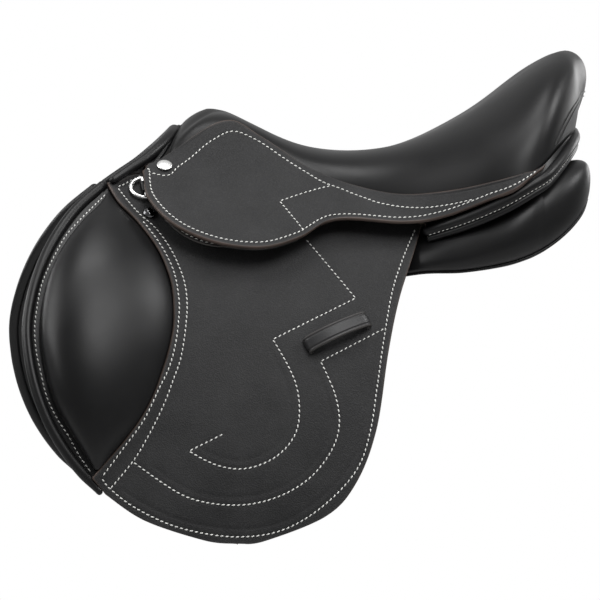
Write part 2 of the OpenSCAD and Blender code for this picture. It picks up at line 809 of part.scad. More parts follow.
module near_panel() {
    n = 26;
    color("#1c1c1f")
        loft([
            for (i = [0:n])
                [for (k = [0:17]) panel_pt(i * (len(panel_rows) - 1) / n, 360 * k / 18, 0.55)]
        ]);
}
module near_panel_piping() {
    path = [
        for (t = [5.5:0.5:12.5])
            let (
                q = panel_pt(t, -38, 0.55) - panel_pt(t, -52, 0.55),
                w = panel_pt(t + 0.2, -45, 0.55) - panel_pt(t - 0.2, -45, 0.55)
            )
            panel_pt(t, -45, 0.55) + unit(cross(w, q)) * (piping_d / 2 + 2 * fit)
    ];
    color("#161618")
        cord(path, [for (p = path) piping_d / 2], 6);
}

module off_tree_wing() { off() near_tree_wing(); }
module off_skirt() { off() near_skirt(); }
module off_skirt_lobe() { off() near_skirt_lobe(); }
module off_skirt_lining() { off() near_skirt_lining(); }
module off_saddle_nail() { off() near_saddle_nail(); }
module off_flap_top() { off() near_flap_top(); }
module off_flap() { off() near_flap(); }
module off_edge_roll() { off() near_edge_roll(); }
module off_knee_pad() { off() near_knee_pad(); }
module off_keeper() { off() near_keeper(); }
module off_flap_stud() { off() near_flap_stud(); }
module off_dee() { off() near_dee(); }
module off_chape() { off() near_chape(); }
module off_stirrup_bar() { off() near_stirrup_bar(); }
module off_catch_pin() { off() near_catch_pin(); }
module off_bar_catch() { off() near_bar_catch(); }
module off_sweat_flap() { off() near_sweat_flap(); }
module near_front_billet() { billet(0); }
module near_middle_billet() { billet(1); }
module near_rear_billet() { billet(2); }
module off_front_billet() { off() billet(0); }
module off_middle_billet() { off() billet(1); }
module off_rear_billet() { off() billet(2); }
module off_billet_rivets() { off() near_billet_rivets(); }
module off_girth_web() { off() near_girth_web(); }
module off_panel() { off() near_panel(); }
module off_panel_piping() { off() near_panel_piping(); }

tree_head();
head_plate();
tree_rivets();
tree_frame();
near_tree_wing();
off_tree_wing();
seat_web();
seat_foam();
seat_cover();
front_roll();
pommel_facing();
gullet_lining();
cantle_bead();
cantle_welt();
near_skirt();
off_skirt();
near_skirt_lobe();
off_skirt_lobe();
near_skirt_lining();
off_skirt_lining();
near_saddle_nail();
off_saddle_nail();
near_flap_top();
off_flap_top();
near_flap();
off_flap();
near_edge_roll();
off_edge_roll();
near_knee_pad();
off_knee_pad();
near_keeper();
off_keeper();
near_flap_stud();
off_flap_stud();
near_dee();
off_dee();
near_chape();
off_chape();
near_stirrup_bar();
off_stirrup_bar();
near_catch_pin();
off_catch_pin();
near_bar_catch();
off_bar_catch();
near_sweat_flap();
off_sweat_flap();
near_front_billet();
off_front_billet();
near_middle_billet();
off_middle_billet();
near_rear_billet();
off_rear_billet();
near_billet_rivets();
off_billet_rivets();
near_girth_web();
off_girth_web();
near_panel();
off_panel();
near_panel_piping();
off_panel_piping();
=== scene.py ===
import math

import bmesh
import bpy
import numpy as np
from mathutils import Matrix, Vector


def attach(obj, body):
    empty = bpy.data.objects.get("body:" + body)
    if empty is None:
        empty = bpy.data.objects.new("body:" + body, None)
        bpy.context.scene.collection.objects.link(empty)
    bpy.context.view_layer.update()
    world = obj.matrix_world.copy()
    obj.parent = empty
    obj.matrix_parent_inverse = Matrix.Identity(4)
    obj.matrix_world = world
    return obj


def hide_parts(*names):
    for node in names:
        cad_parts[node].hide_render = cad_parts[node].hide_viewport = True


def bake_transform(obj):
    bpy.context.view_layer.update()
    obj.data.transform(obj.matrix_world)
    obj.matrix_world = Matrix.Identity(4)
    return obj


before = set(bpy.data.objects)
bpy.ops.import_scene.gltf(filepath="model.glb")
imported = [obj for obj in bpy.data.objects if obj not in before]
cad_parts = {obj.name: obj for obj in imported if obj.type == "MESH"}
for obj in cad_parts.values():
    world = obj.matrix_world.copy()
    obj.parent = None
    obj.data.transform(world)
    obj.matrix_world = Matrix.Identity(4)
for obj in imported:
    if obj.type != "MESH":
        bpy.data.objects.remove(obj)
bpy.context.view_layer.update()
mm = 0.001  # tables below are in millimetres, meshes in metres
print("frame loaded:", len(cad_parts), "nodes")

# shared curves and surfaces, all on whole arrays
flank = {"y": 265.0, "z": -260.0, "r": 480.0}  # axis and radius of the curved leather side


def mix(a, b, k):
    return a + (b - a) * k


def unit(v):
    return v / np.maximum(np.linalg.norm(v, axis=-1, keepdims=True), 1e-9)


def smooth(a, b, x):  # 0 before a, 1 after b, eased between
    k = np.clip((x - a) / (b - a), 0, 1)
    return k * k * (3 - 2 * k)


# Catmull-Rom curve through the rows of a table, t counted in rows
def curveAt(table, t):
    p = np.asarray(table, float)
    t = np.clip(np.asarray(t, float), 0, len(p) - 1)
    i = np.minimum(t.astype(int), len(p) - 2)
    f = (t - i).reshape(t.shape + (1,) * (p.ndim - 1))
    a, b, c, d = p[np.maximum(i - 1, 0)], p[i], p[i + 1], p[np.minimum(i + 2, len(p) - 1)]
    return 0.5 * (2 * b + (c - a) * f + (2 * a - 5 * b + 4 * c - d) * f**2 + (3 * b - a - 3 * c + d) * f**3)


# polyline resampled at even arc length, n points
def evenly(line, n):
    d = np.r_[0, np.cumsum(np.linalg.norm(np.diff(line, axis=0), axis=1))]
    s = np.linspace(0, d[-1], n)
    return np.stack([np.interp(s, d, line[:, k]) for k in range(line.shape[1])], 1)


def lengthOf(line):
    return float(np.linalg.norm(np.diff(line, axis=0), axis=1).sum())


# smooth curve through a table at even steps
def smoothLine(table, step=1.0):
    line = curveAt(table, np.linspace(0, len(table) - 1, 30 * len(table)))
    return evenly(line, max(3, int(round(lengthOf(line) / step)) + 1))


# side view place q carried out to radius r on the flank's cylinder
def onSide(q, r):
    q = np.asarray(q, float)
    s = (q[..., 1] - flank["z"]) / flank["r"]
    return np.stack(np.broadcast_arrays(q[..., 0], flank["y"] - r * np.sqrt(1 - s * s), flank["z"] + r * s), -1)


# side view place q at radius r, its height kept
def atSide(q, r):
    q = np.asarray(q, float)
    h = q[..., 1] - flank["z"]
    return np.stack(np.broadcast_arrays(q[..., 0], flank["y"] - np.sqrt(r * r - h * h), q[..., 1]), -1)


def outward(p):
    return unit((p - np.array([0, flank["y"], flank["z"]])) * np.array([0, 1, 1]))


# normals of a grid: cross product of its two steps
def gridNormals(grid):
    return unit(np.cross(np.gradient(grid, axis=1), np.gradient(grid, axis=0)))


# smallest distance from each point to a finely stepped line
def farFrom(points, line, block=3000):
    flat = points.reshape(-1, points.shape[-1]).astype(np.float32)
    line = line.astype(np.float32)
    best = [np.sqrt(((flat[i:i + block, None] - line[None]) ** 2).sum(-1).min(1)) for i in range(0, len(flat), block)]
    return np.concatenate(best).reshape(points.shape[:-1])


# groove profile: a bell of the given half width round a line
def groove(points, lines, width):
    return np.exp(-((farFrom(points, np.concatenate(lines)) / width) ** 2))


# row laid on a grid: each point moves to the nearest face place, with that place's normal
def laidOn(line, grid, normals):
    line = evenly(line, max(3, int(lengthOf(line))))
    flat, out = grid.reshape(-1, 3), normals.reshape(-1, 3)
    near = np.argmin(((line[:, None] - flat[None]) ** 2).sum(-1), axis=1)
    n = unit(sum(out[np.clip(near + k, 0, len(out) - 1)] for k in (-1, 0, 1)))
    return line + n * ((flat[near] - line) * n).sum(1, keepdims=True), n


# meshes: a shape is (vertices, quads, material index, named values)
def gridQuads(nu, nv, wrapU=False, wrapV=False):
    i = np.arange(nu * nv).reshape(nu, nv)
    if wrapU:
        i = np.concatenate([i, i[:1]], 0)
    if wrapV:
        i = np.concatenate([i, i[:, :1]], 1)
    return np.stack([i[:-1, :-1], i[1:, :-1], i[1:, 1:], i[:-1, 1:]], -1).reshape(-1, 4)


def joined(*shapes):
    verts, quads, which, values, n = [], [], [], {}, 0
    for v, q, w, a in shapes:
        verts.append(v)
        quads.append(q + n)
        which.append(w)
        n += len(v)
    for name in {k for s in shapes for k in s[3]}:
        values[name] = np.concatenate([s[3].get(name, np.zeros(len(s[0]))) for s in shapes])
    return np.concatenate(verts), np.concatenate(quads), np.concatenate(which), values


# closed sheet: a face and a back of the same grid, with a half-round cut edge along every open border
def sheetSolid(face, back, keep=None, bulge=0.6, rings=3, rub=0.9):
    nu, nv = face.shape[:2]
    quads = gridQuads(nu, nv)
    if keep is not None:
        quads = quads[keep.ravel()]
    f, b = face.reshape(-1, 3), back.reshape(-1, 3)
    edges = np.concatenate([quads[:, [k, (k + 1) % 4]] for k in range(4)])
    _, inverse, count = np.unique(np.sort(edges, 1), axis=0, return_inverse=True, return_counts=True)
    rim = edges[count[inverse.ravel()] == 1]
    away = np.zeros_like(f)
    np.add.at(away, quads.ravel(), (f[quads] - f[quads].mean(1, keepdims=True)).reshape(-1, 3))
    ids = np.unique(rim)
    half = (f - b)[ids] / 2
    n = unit(half)
    side = unit(away[ids] - (away[ids] * n).sum(1, keepdims=True) * n)
    thick = np.linalg.norm(half, axis=1, keepdims=True)
    angles = math.pi * np.arange(1, rings + 1) / (rings + 1)
    turned = [(f + b)[ids] / 2 + half * math.cos(a) + side * thick * bulge * math.sin(a) for a in angles]
    total = len(f)
    place = np.zeros(total, int)
    place[ids] = np.arange(len(ids))
    i, j = rim[:, 0], rim[:, 1]
    layers = [(i, j)] + [(2 * total + k * len(ids) + place[i], 2 * total + k * len(ids) + place[j]) for k in range(rings)]
    layers.append((i + total, j + total))
    strips = [np.stack([p[1], p[0], q[0], q[1]], 1) for p, q in zip(layers[:-1], layers[1:])]
    verts = np.concatenate([f, b, *turned])
    faces = np.concatenate([quads, quads[:, ::-1] + total, *strips])
    which = np.zeros(len(faces), int)
    which[2 * len(quads):] = 1
    # rub value: 1 on the cut edge, fading over the rub width on the faces; it lightens the colour there as wear and as
    # a painted highlight line
    near = np.exp(-farFrom(f, f[ids]) / rub)
    values = {"rub": np.concatenate([near, near, np.ones(rings * len(ids))])}
    used, remap = np.unique(faces, return_inverse=True)
    return verts[used], remap.reshape(faces.shape), which, {k: v[used] for k, v in values.items()}


# round cord: circles of radius r carried along a path, with domed ends
def tube(path, r, sides=16, closed=False, dome=4, ref=(0.1, 0.2, 1.0)):
    path = np.asarray(path, float)
    r = np.broadcast_to(np.asarray(r, float), (len(path),)).copy()
    way = unit(np.roll(path, -1, 0) - np.roll(path, 1, 0)) if closed else unit(np.gradient(path, axis=0))
    if not closed:
        a = np.linspace(0, math.pi / 2, dome + 1)[1:]
        first = path[0] - way[0] * (r[0] * np.sin(a))[::-1, None]
        last = path[-1] + way[-1] * (r[-1] * np.sin(a))[:, None]
        path = np.concatenate([first, path, last])
        r = np.concatenate([r[0] * np.cos(a)[::-1], r, r[-1] * np.cos(a)])
        way = np.concatenate([np.repeat(way[:1], dome, 0), way, np.repeat(way[-1:], dome, 0)])
    across = unit(np.cross(way, np.array(ref)))
    up = np.cross(across, way)
    k = 2 * math.pi * np.arange(sides) / sides
    rings = path[:, None] + r[:, None, None] * (across[:, None] * np.cos(k)[:, None] + up[:, None] * np.sin(k)[:, None])
    quads = gridQuads(len(path), sides, wrapU=closed, wrapV=True)
    return rings.reshape(-1, 3), quads, np.zeros(len(quads), int), {}


# turned piece: a profile (radius, height) spun about the axis at a point
def turned(profile, centre, axis, sides=40):
    profile = np.asarray(profile, float)
    axis = unit(np.asarray(axis, float))
    across = unit(np.cross(axis, [0.3, 0.1, 1.0]))
    up = np.cross(axis, across)
    k = 2 * math.pi * np.arange(sides) / sides
    ring = across * np.cos(k)[:, None] + up * np.sin(k)[:, None]
    verts = centre + profile[:, None, 1:] * axis + profile[:, None, :1] * ring
    quads = gridQuads(len(profile), sides, wrapV=True)
    return verts.reshape(-1, 3), quads[:, ::-1], np.zeros(len(quads), int), {}


# sewn row: one arched six-sided capsule per stitch, sunk at both ends and a little slanted, and after it a dark box for
# the needle hole, its darkness painted shade
sewing = {"pitch": 4.9, "length": 3.1, "thick": 1.2, "slant": 13.0, "hole": (0.95, 0.75, 0.25)}


def stitchRow(line, normals, look=sewing):
    d = np.r_[0, np.cumsum(np.linalg.norm(np.diff(line, axis=0), axis=1))]
    n = max(1, int(d[-1] / look["pitch"]))
    step = d[-1] / n

    def frameAt(s):  # place, way along the row and normal at arc length s
        spot = np.stack([np.interp(s, d, line[:, k]) for k in range(3)], 1)
        up = unit(np.stack([np.interp(s, d, normals[:, k]) for k in range(3)], 1))
        ahead = np.stack([np.interp(s + 1, d, line[:, k]) - np.interp(s - 1, d, line[:, k]) for k in range(3)], 1)
        way = unit(ahead - (ahead * up).sum(1, keepdims=True) * up)
        return spot, way, np.cross(up, way), up

    spot, way, across, up = frameAt((np.arange(n) + 0.5) * step)
    lean = math.radians(look["slant"])
    way, across = way * math.cos(lean) + across * math.sin(lean), across * math.cos(lean) - way * math.sin(lean)
    along = np.array([-1, -0.82, 0, 0.82, 1]) * look["length"] / 2
    r = np.array([0.3, 0.8, 1, 0.8, 0.3]) * look["thick"] / 2
    high = np.array([-0.5, 0.1, 0.45, 0.1, -0.5]) * look["thick"] / 2
    k = 2 * math.pi * np.arange(6) / 6
    centre = spot[:, None] + way[:, None] * along[:, None] + up[:, None] * high[:, None]
    ring = across[:, None] * np.cos(k)[:, None] + up[:, None] * np.sin(k)[:, None]
    verts = centre[:, :, None] + r[:, None, None] * ring[:, None]
    one = np.concatenate([gridQuads(5, 6, wrapV=True), [[0, 1, 2, 3], [0, 3, 4, 5], [27, 26, 25, 24], [29, 28, 27, 24]]])
    quads = (one[None] + 30 * np.arange(n)[:, None, None]).reshape(-1, 4)
    sewn = verts.reshape(-1, 3), quads, np.zeros(len(quads), int), {}
    # needle holes: near-black boxes just proud of the face, painted shade of the holes
    spot, way, across, up = frameAt(np.arange(1, n) * step)
    a, b, c = look["hole"]
    corner = np.array([[-a, 0, -c], [0, -b, -c], [a, 0, -c], [0, b, -c], [-a, 0, 0.06], [0, -b, 0.06], [a, 0, 0.06], [0, b, 0.06]])
    verts = spot[:, None] + way[:, None] * corner[:, :1] + across[:, None] * corner[:, 1:2] + up[:, None] * corner[:, 2:]
    box = np.array([[3, 2, 1, 0], [4, 5, 6, 7], [0, 1, 5, 4], [1, 2, 6, 5], [2, 3, 7, 6], [3, 0, 4, 7]])
    quads = (box[None] + 8 * np.arange(len(spot))[:, None, None]).reshape(-1, 4)
    return joined(sewn, (verts.reshape(-1, 3), quads, np.ones(len(quads), int), {}))


def makePiece(name, shape, mats, mirror=False, merge=False):
    verts, quads, which, values = shape
    if mirror:
        verts, quads = verts * [1, -1, 1], quads[:, ::-1]
    mesh = bpy.data.meshes.new(name)
    mesh.from_pydata((verts * mm).tolist(), [], quads.tolist())
    mesh.polygons.foreach_set("use_smooth", np.ones(len(quads), bool))
    mesh.polygons.foreach_set("material_index", which.astype(np.int32))
    for key, value in values.items():
        mesh.attributes.new(key, "FLOAT", "POINT").data.foreach_set("value", value.astype(np.float32))
    for m in mats:
        mesh.materials.append(m)
    if merge:
        work = bmesh.new()
        work.from_mesh(mesh)
        bmesh.ops.remove_doubles(work, verts=work.verts, dist=2e-6)
        bmesh.ops.recalc_face_normals(work, faces=work.faces)
        work.to_mesh(mesh)
        work.free()
    mesh.update()
    piece = bpy.data.objects.new(name, mesh)
    bpy.context.scene.collection.objects.link(piece)
    return piece


sides = {"near": False, "off": True}


# one shape on both sides: built, placed on its body (pieces given a bend are left unparented in place), and named after
# what it replaces
def bothSides(name, shape, mats, body=None, replaces=(), bend=None, merge=False):
    for sideName, mirror in sides.items():
        piece = makePiece(sideName + name, shape, mats, mirror, merge)
        for part in replaces:
            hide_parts(f"{sideName}_{part}")
        if bend:
            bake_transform(piece)
        else:
            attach(piece, f"{sideName}_{body}" if body else "saddle")


# one piece over the centre plane, fixed to the saddle
def centrePiece(name, shape, mats, replaces=(), merge=True):
    piece = makePiece(name, shape, mats, merge=merge)
    if replaces:
        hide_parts(*replaces)
    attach(piece, "saddle")
    return piece


# near half, from the side to the centre plane, carried on to the off side
def centred(half):
    return np.concatenate([half, half[-2::-1] * [1, -1, 1]])


# near half, from the centre plane to the side, led by its reverse and mirrored after it
def overCentre(half):
    return np.concatenate([half[:0:-1], half * [1, -1, 1]])


# start and end of a leather bend: square to the hinge line, above and below it
def bendOf(body, a, b, reach):
    a, b = np.array(a, float), np.array(b, float)
    centre = (a + b) / 2
    down = unit(np.cross(unit(b - a), outward(centre)))
    down = -down if down[2] > 0 else down
    return {"body": body, "ends": (centre - down * reach, centre + down * reach)}


flapBend = bendOf("flap_body", (-249, -78.8, 85.0), (44, -170.9, -42.9), 12)
skirtBend = bendOf("skirt_lobe_body", (-209, -84.4, 93.5), (-8, -124.6, 55.0), 9)

# camera
shot = {"target": (-45, 0, -30), "distance": 4000, "azimuth": -6.2, "elevation": 0.5, "lens": 240, "sensor": 36}
a, e = math.radians(shot["azimuth"]), math.radians(shot["elevation"])
back = Vector((math.sin(a) * math.cos(e), -math.cos(a) * math.cos(e), math.sin(e)))
camera = bpy.data.objects.new("camera", bpy.data.cameras.new("camera"))
camera.data.lens, camera.data.sensor_width = shot["lens"], shot["sensor"]
camera.data.clip_end = 50
camera.location = Vector(shot["target"]) * mm + back * shot["distance"] * mm
camera.rotation_mode = "QUATERNION"
camera.rotation_quaternion = (-back).to_track_quat("-Z", "Y")
bpy.context.scene.collection.objects.link(camera)
bpy.context.scene.camera = camera


# materials
def put(tree, kind, inputs=None, **settings):
    made = tree.nodes.new(kind)
    for key, value in settings.items():
        setattr(made, key, value)
    for key, value in (inputs or {}).items():
        if hasattr(value, "is_output"):
            tree.links.new(value, made.inputs[key])
        else:
            made.inputs[key].default_value = value
    return made


def startGroup(name, inputs, outputs):
    tree = bpy.data.node_groups.new(name, "ShaderNodeTree")
    for key, value in inputs.items():
        tree.interface.new_socket(key, in_out="INPUT", socket_type="NodeSocketFloat").default_value = value
    for key in outputs:
        tree.interface.new_socket(key, in_out="OUTPUT", socket_type="NodeSocketFloat")
    return tree, tree.nodes.new("NodeGroupInput").outputs, tree.nodes.new("NodeGroupOutput").inputs


def maths(tree, operation, x, y):
    return put(tree, "ShaderNodeMath", {0: x, 1: y}, operation=operation).outputs[0]


# hide grain: pebbles and pores of the given counts per metre, and slow patches of tone
hideGrain, given, result = startGroup("hideGrain", {"Pebble": 700, "Pore": 2400, "Patch": 14}, ["Height", "Patch", "Speck"])
spot = put(hideGrain, "ShaderNodeTexCoord").outputs["Object"]
pebble = put(hideGrain, "ShaderNodeTexVoronoi", {"Vector": spot, "Scale": given["Pebble"], "Smoothness": 0.6}, feature="SMOOTH_F1")
pore = put(hideGrain, "ShaderNodeTexNoise", {"Vector": spot, "Scale": given["Pore"], "Detail": 2.0})
patch = put(hideGrain, "ShaderNodeTexNoise", {"Vector": spot, "Scale": given["Patch"], "Detail": 4.0, "Roughness": 0.6})
bumps = maths(hideGrain, "MULTIPLY", pebble.outputs["Distance"], 0.75)
pores = maths(hideGrain, "MULTIPLY", pore.outputs[0], 0.25)
hideGrain.links.new(maths(hideGrain, "ADD", bumps, pores), result["Height"])
hideGrain.links.new(patch.outputs[0], result["Patch"])
hideGrain.links.new(maths(hideGrain, "SUBTRACT", pebble.outputs["Distance"], 0.42), result["Speck"])

# rubbed edges and painted edge highlight: the piece's own rub value, broken up by noise, lightens the colour near cut
# edges for wear and for the sheen of the bevel
wornEdge, given, result = startGroup("wornEdge", {"Break": 60}, ["Worn"])
spot = put(wornEdge, "ShaderNodeTexCoord").outputs["Object"]
rub = put(wornEdge, "ShaderNodeAttribute", attribute_name="rub").outputs["Fac"]
broken = put(wornEdge, "ShaderNodeTexNoise", {"Vector": spot, "Scale": given["Break"], "Detail": 3.0}).outputs[0]
wornEdge.links.new(maths(wornEdge, "MULTIPLY", rub, broken), result["Worn"])

# fibres: noise drawn out along one way of the piece
fibres, given, result = startGroup("fibres", {"Across": 900, "Along": 60}, ["Height", "Tone"])
spot = put(fibres, "ShaderNodeTexCoord").outputs["Object"]
stretch = put(fibres, "ShaderNodeCombineXYZ", {"X": given["Along"], "Y": given["Across"], "Z": given["Across"]})
moved = put(fibres, "ShaderNodeVectorMath", {0: spot, 1: stretch.outputs[0]}, operation="MULTIPLY").outputs[0]
strand = put(fibres, "ShaderNodeTexNoise", {"Vector": moved, "Scale": 1.0, "Detail": 4.0}).outputs[0]
slow = put(fibres, "ShaderNodeTexNoise", {"Vector": spot, "Scale": 25.0, "Detail": 2.0}).outputs[0]
fibres.links.new(strand, result["Height"])
fibres.links.new(slow, result["Tone"])


def startMaterial(name):
    made = bpy.data.materials.new(name)
    made.use_nodes = True
    return made, made.node_tree, made.node_tree.nodes["Principled BSDF"]


def twoTone(tree, factor, dark, light):
    blendNode = put(tree, "ShaderNodeMix", {0: factor, 6: (*dark, 1), 7: (*light, 1)}, data_type="RGBA")
    return blendNode.outputs[2]


# leather: tone by patches, edges lightened as rubbed wear and as a painted highlight, roughness by patches, grain as
# bump
def leather(name, look):
    made, tree, skin = startMaterial(name)
    grain = put(tree, "ShaderNodeGroup", node_tree=hideGrain)
    for key in ("Pebble", "Pore", "Patch"):
        grain.inputs[key].default_value = look[key.lower()]
    wornAndLit = put(tree, "ShaderNodeGroup", node_tree=wornEdge)
    speck = maths(tree, "MULTIPLY", grain.outputs["Speck"], look["speck"])
    tone = twoTone(tree, maths(tree, "ADD", grain.outputs["Patch"], speck), look["dark"], look["light"])
    # towards the edges the colour turns to the rubbed colour: worn leather and a painted highlight along the bevel
    rubbed = put(tree, "ShaderNodeMix", {0: wornAndLit.outputs[0], 6: tone, 7: (*look["rubbed"], 1)}, data_type="RGBA").outputs[2]
    tree.links.new(rubbed, skin.inputs["Base Color"])
    rough = put(tree, "ShaderNodeMapRange", {0: grain.outputs["Patch"], 1: 0.3, 2: 0.7, 3: look["rough"][0], 4: look["rough"][1]})
    tree.links.new(rough.outputs[0], skin.inputs["Roughness"])
    bump = put(tree, "ShaderNodeBump", {"Strength": look["relief"], "Distance": look["depth"], "Height": grain.outputs["Height"]})
    tree.links.new(bump.outputs[0], skin.inputs["Normal"])
    skin.inputs["Specular IOR Level"].default_value = look["specular"]
    return made


# rubbed: the lighter colour at the edges, rubbed wear and painted edge highlight
smoothLook = {
    "dark": (0.003, 0.003, 0.0032), "light": (0.0055, 0.0055, 0.0058), "rubbed": (0.013, 0.0125, 0.0125),
    "rough": (0.34, 0.46), "pebble": 900, "pore": 3200, "patch": 12, "relief": 0.35, "depth": 0.00008,
    "specular": 0.2, "speck": 0.2,
}
grainedLook = {
    "dark": (0.009, 0.009, 0.0094), "light": (0.032, 0.032, 0.0325), "rubbed": (0.045, 0.042, 0.041),
    "rough": (0.5, 0.64), "pebble": 800, "pore": 2600, "patch": 22, "relief": 1.0, "depth": 0.00045,
    "specular": 0.1, "speck": 0.6,
}
strapLook = {
    "dark": (0.009, 0.009, 0.0095), "light": (0.018, 0.018, 0.019), "rubbed": (0.05, 0.046, 0.043),
    "rough": (0.36, 0.5), "pebble": 800, "pore": 2600, "patch": 20, "relief": 0.5, "depth": 0.00015,
    "specular": 0.24, "speck": 0.4,
}
cutLook = {
    "dark": (0.012, 0.0085, 0.007), "light": (0.034, 0.0245, 0.0205), "rubbed": (0.06, 0.043, 0.036),
    "rough": (0.36, 0.5), "pebble": 1500, "pore": 4000, "patch": 45, "relief": 0.3, "depth": 0.0001,
    "specular": 0.2, "speck": 0.4,
}
smoothLeather = leather("smoothLeather", smoothLook)
grainedLeather = leather("grainedLeather", grainedLook)
strapLeather = leather("strapLeather", strapLook)
cutEdge = leather("burnishedCutEdge", cutLook)


# thread, webbing, wood and foam: fibre tone and fibre bump
def fibrous(name, look):
    made, tree, skin = startMaterial(name)
    strands = put(tree, "ShaderNodeGroup", node_tree=fibres)
    strands.inputs["Across"].default_value, strands.inputs["Along"].default_value = look["across"], look["along"]
    part = put(tree, "ShaderNodeMix", {0: 0.5, 2: strands.outputs["Height"], 3: strands.outputs["Tone"]})
    tree.links.new(twoTone(tree, part.outputs[0], look["dark"], look["light"]), skin.inputs["Base Color"])
    bump = put(tree, "ShaderNodeBump", {"Strength": look["relief"], "Distance": look["depth"], "Height": strands.outputs["Height"]})
    tree.links.new(bump.outputs[0], skin.inputs["Normal"])
    skin.inputs["Roughness"].default_value = look["rough"]
    skin.inputs["Specular IOR Level"].default_value = look["specular"]
    return made


thread = fibrous("linenThread", {
    "dark": (0.45, 0.45, 0.43), "light": (0.76, 0.76, 0.73), "rough": 0.75, "specular": 0.25,
    "across": 2500, "along": 1400, "relief": 0.4, "depth": 0.0002})
# near-black finish of the needle holes: painted shade in the holes
holeShade = fibrous("blackThread", {
    "dark": (0.012, 0.012, 0.013), "light": (0.03, 0.03, 0.032), "rough": 0.6, "specular": 0.35,
    "across": 2500, "along": 1400, "relief": 0.4, "depth": 0.0002})
webbing = fibrous("linenWeb", {
    "dark": (0.30, 0.26, 0.19), "light": (0.52, 0.46, 0.36), "rough": 0.85, "specular": 0.2,
    "across": 700, "along": 420, "relief": 0.8, "depth": 0.0006})
treeWood = fibrous("beechTree", {
    "dark": (0.20, 0.115, 0.055), "light": (0.40, 0.25, 0.13), "rough": 0.5, "specular": 0.35,
    "across": 420, "along": 26, "relief": 0.35, "depth": 0.0004})
foamBack = fibrous("foamBack", {
    "dark": (0.34, 0.31, 0.22), "light": (0.52, 0.48, 0.36), "rough": 0.95, "specular": 0.15,
    "across": 900, "along": 900, "relief": 0.7, "depth": 0.0005})


# metal: brushed tone and roughness from fibres
def metal(name, look):
    made, tree, skin = startMaterial(name)
    strands = put(tree, "ShaderNodeGroup", node_tree=fibres)
    strands.inputs["Across"].default_value, strands.inputs["Along"].default_value = look["across"], look["along"]
    tree.links.new(twoTone(tree, strands.outputs["Tone"], look["dark"], look["light"]), skin.inputs["Base Color"])
    rough = put(tree, "ShaderNodeMapRange", {0: strands.outputs["Height"], 1: 0.3, 2: 0.7, 3: look["rough"][0], 4: look["rough"][1]})
    tree.links.new(rough.outputs[0], skin.inputs["Roughness"])
    bump = put(tree, "ShaderNodeBump", {"Strength": 0.04, "Distance": 0.00003, "Height": strands.outputs["Height"]})
    tree.links.new(bump.outputs[0], skin.inputs["Normal"])
    skin.inputs["Metallic"].default_value = 1.0
    return made


nickel = metal("polishedNickel", {
    "dark": (0.84, 0.84, 0.83), "light": (0.88, 0.88, 0.87), "rough": (0.26, 0.29), "across": 500, "along": 400})
darkMetal = metal("gunMetal", {
    "dark": (0.08, 0.08, 0.083), "light": (0.13, 0.13, 0.135), "rough": (0.12, 0.2), "across": 500, "along": 400})
forgedSteel = metal("forgedSteel", {
    "dark": (0.36, 0.36, 0.37), "light": (0.52, 0.52, 0.53), "rough": (0.28, 0.42), "across": 900, "along": 120})
print("materials made")

# seat: ribs from the pommel nose round the near side to the back of the cantle
seat = {
    "spine": [[-138, 161], [-135, 161.5], [-131, 161.5], [-126, 160.5], [-116, 157.5], [-92, 145.5], [-66, 132.5], [-36, 123],
              [0, 119.5], [36, 121.5], [69, 131], [102, 147], [137, 167.5], [173, 196], [203, 214.5], [219, 220]],
    "crest": [[-146, 0, 159], [-142, -12, 158], [-134, -18, 156.5], [-130, -18, 156.5], [-117, -15, 156], [-92, -14, 144.5],
              [-66, -14, 132], [-37, -14, 122.5], [0, -16, 119], [38, -26, 122.5], [70, -38, 132], [104, -46, 148.5],
              [140, -48, 169.5], [178, -42, 199], [208, -24, 216.5], [223, 0, 221]],
    "seam": [[-164, 0, 144], [-173, -29, 129], [-186, -62, 107], [-150, -54, 135], [-119, -50, 148], [-92, -53, 138],
             [-68, -58, 123], [-43, -66, 105], [-4, -78, 86], [43, -97, 75], [89, -122, 77], [134, -143, 87],
             [164, -144, 97], [192, -122, 116], [222, -62, 139], [231, 0, 147]],
    "bulge": [1, 1, 1, 1, 1, 1, 1, 1, 1, 1, 2, 4, 7, 11, 14, 16],
    "foam": [0.35, 0.35, 0.35, 0.4, 0.45, 0.6, 0.8, 1, 1, 1, 1, 1, 1, 1, 1, 1],
    "depth": 18.0, "leather": 2.7, "nose": 0.5, "ease": 80, "ribs": 200, "steps": 44, "fill": 0.7,
}
lastRib = len(seat["bulge"]) - 1
spineLine = np.insert(np.array(seat["spine"], float), 1, 0.0, axis=1)


def tuckAt(t):
    return 10 * smooth(13.6, 11.2, t) * np.clip(t - 1, 0.2, 1)


def rimAt(t):
    return curveAt(seat["seam"], t) - tuckAt(t)[..., None] * np.array([0, 0, 1.0])


# rib t: eased line from spine to crest, then a bulging quarter turn down to the rim, set in by d
def seatPoint(t, v, d=0.0):
    t, v, d = np.broadcast_arrays(np.asarray(t, float), np.asarray(v, float), np.asarray(d, float))
    s, k, e = curveAt(spineLine, t), curveAt(seat["crest"], t), rimAt(t)
    way = unit((e - s) * np.array([1, 1, 0]))
    w = np.clip(v / 0.4, 0, 1)[..., None]
    flat = mix(s, k, w)
    flat[..., 2] = mix(s, k, w * w * (3 - 2 * w))[..., 2] - d
    a = np.clip((v - 0.4) / 0.6, 0, 1)[..., None] * math.pi / 2
    swell = curveAt(seat["bulge"], t)[..., None] * np.sin(2 * a) - d[..., None] * np.sin(a)
    fall = mix(np.cos(a), 1 - np.sin(a), seat["nose"] * smooth(3, 1.5, t)[..., None])[..., 0]  # straighter at the nose
    round_ = mix(k, e, np.sin(a)) + way * swell
    round_[..., 2] = mix(e[..., 2], k[..., 2] - d, fall)
    return np.where((v < 0.4)[..., None], flat, round_)


def fullRibs(t, v, d):
    p = seatPoint(t[:, None], np.abs(v)[None], d[:, None])
    p[..., 1] *= np.where(v < 0, 1, -1)
    return p


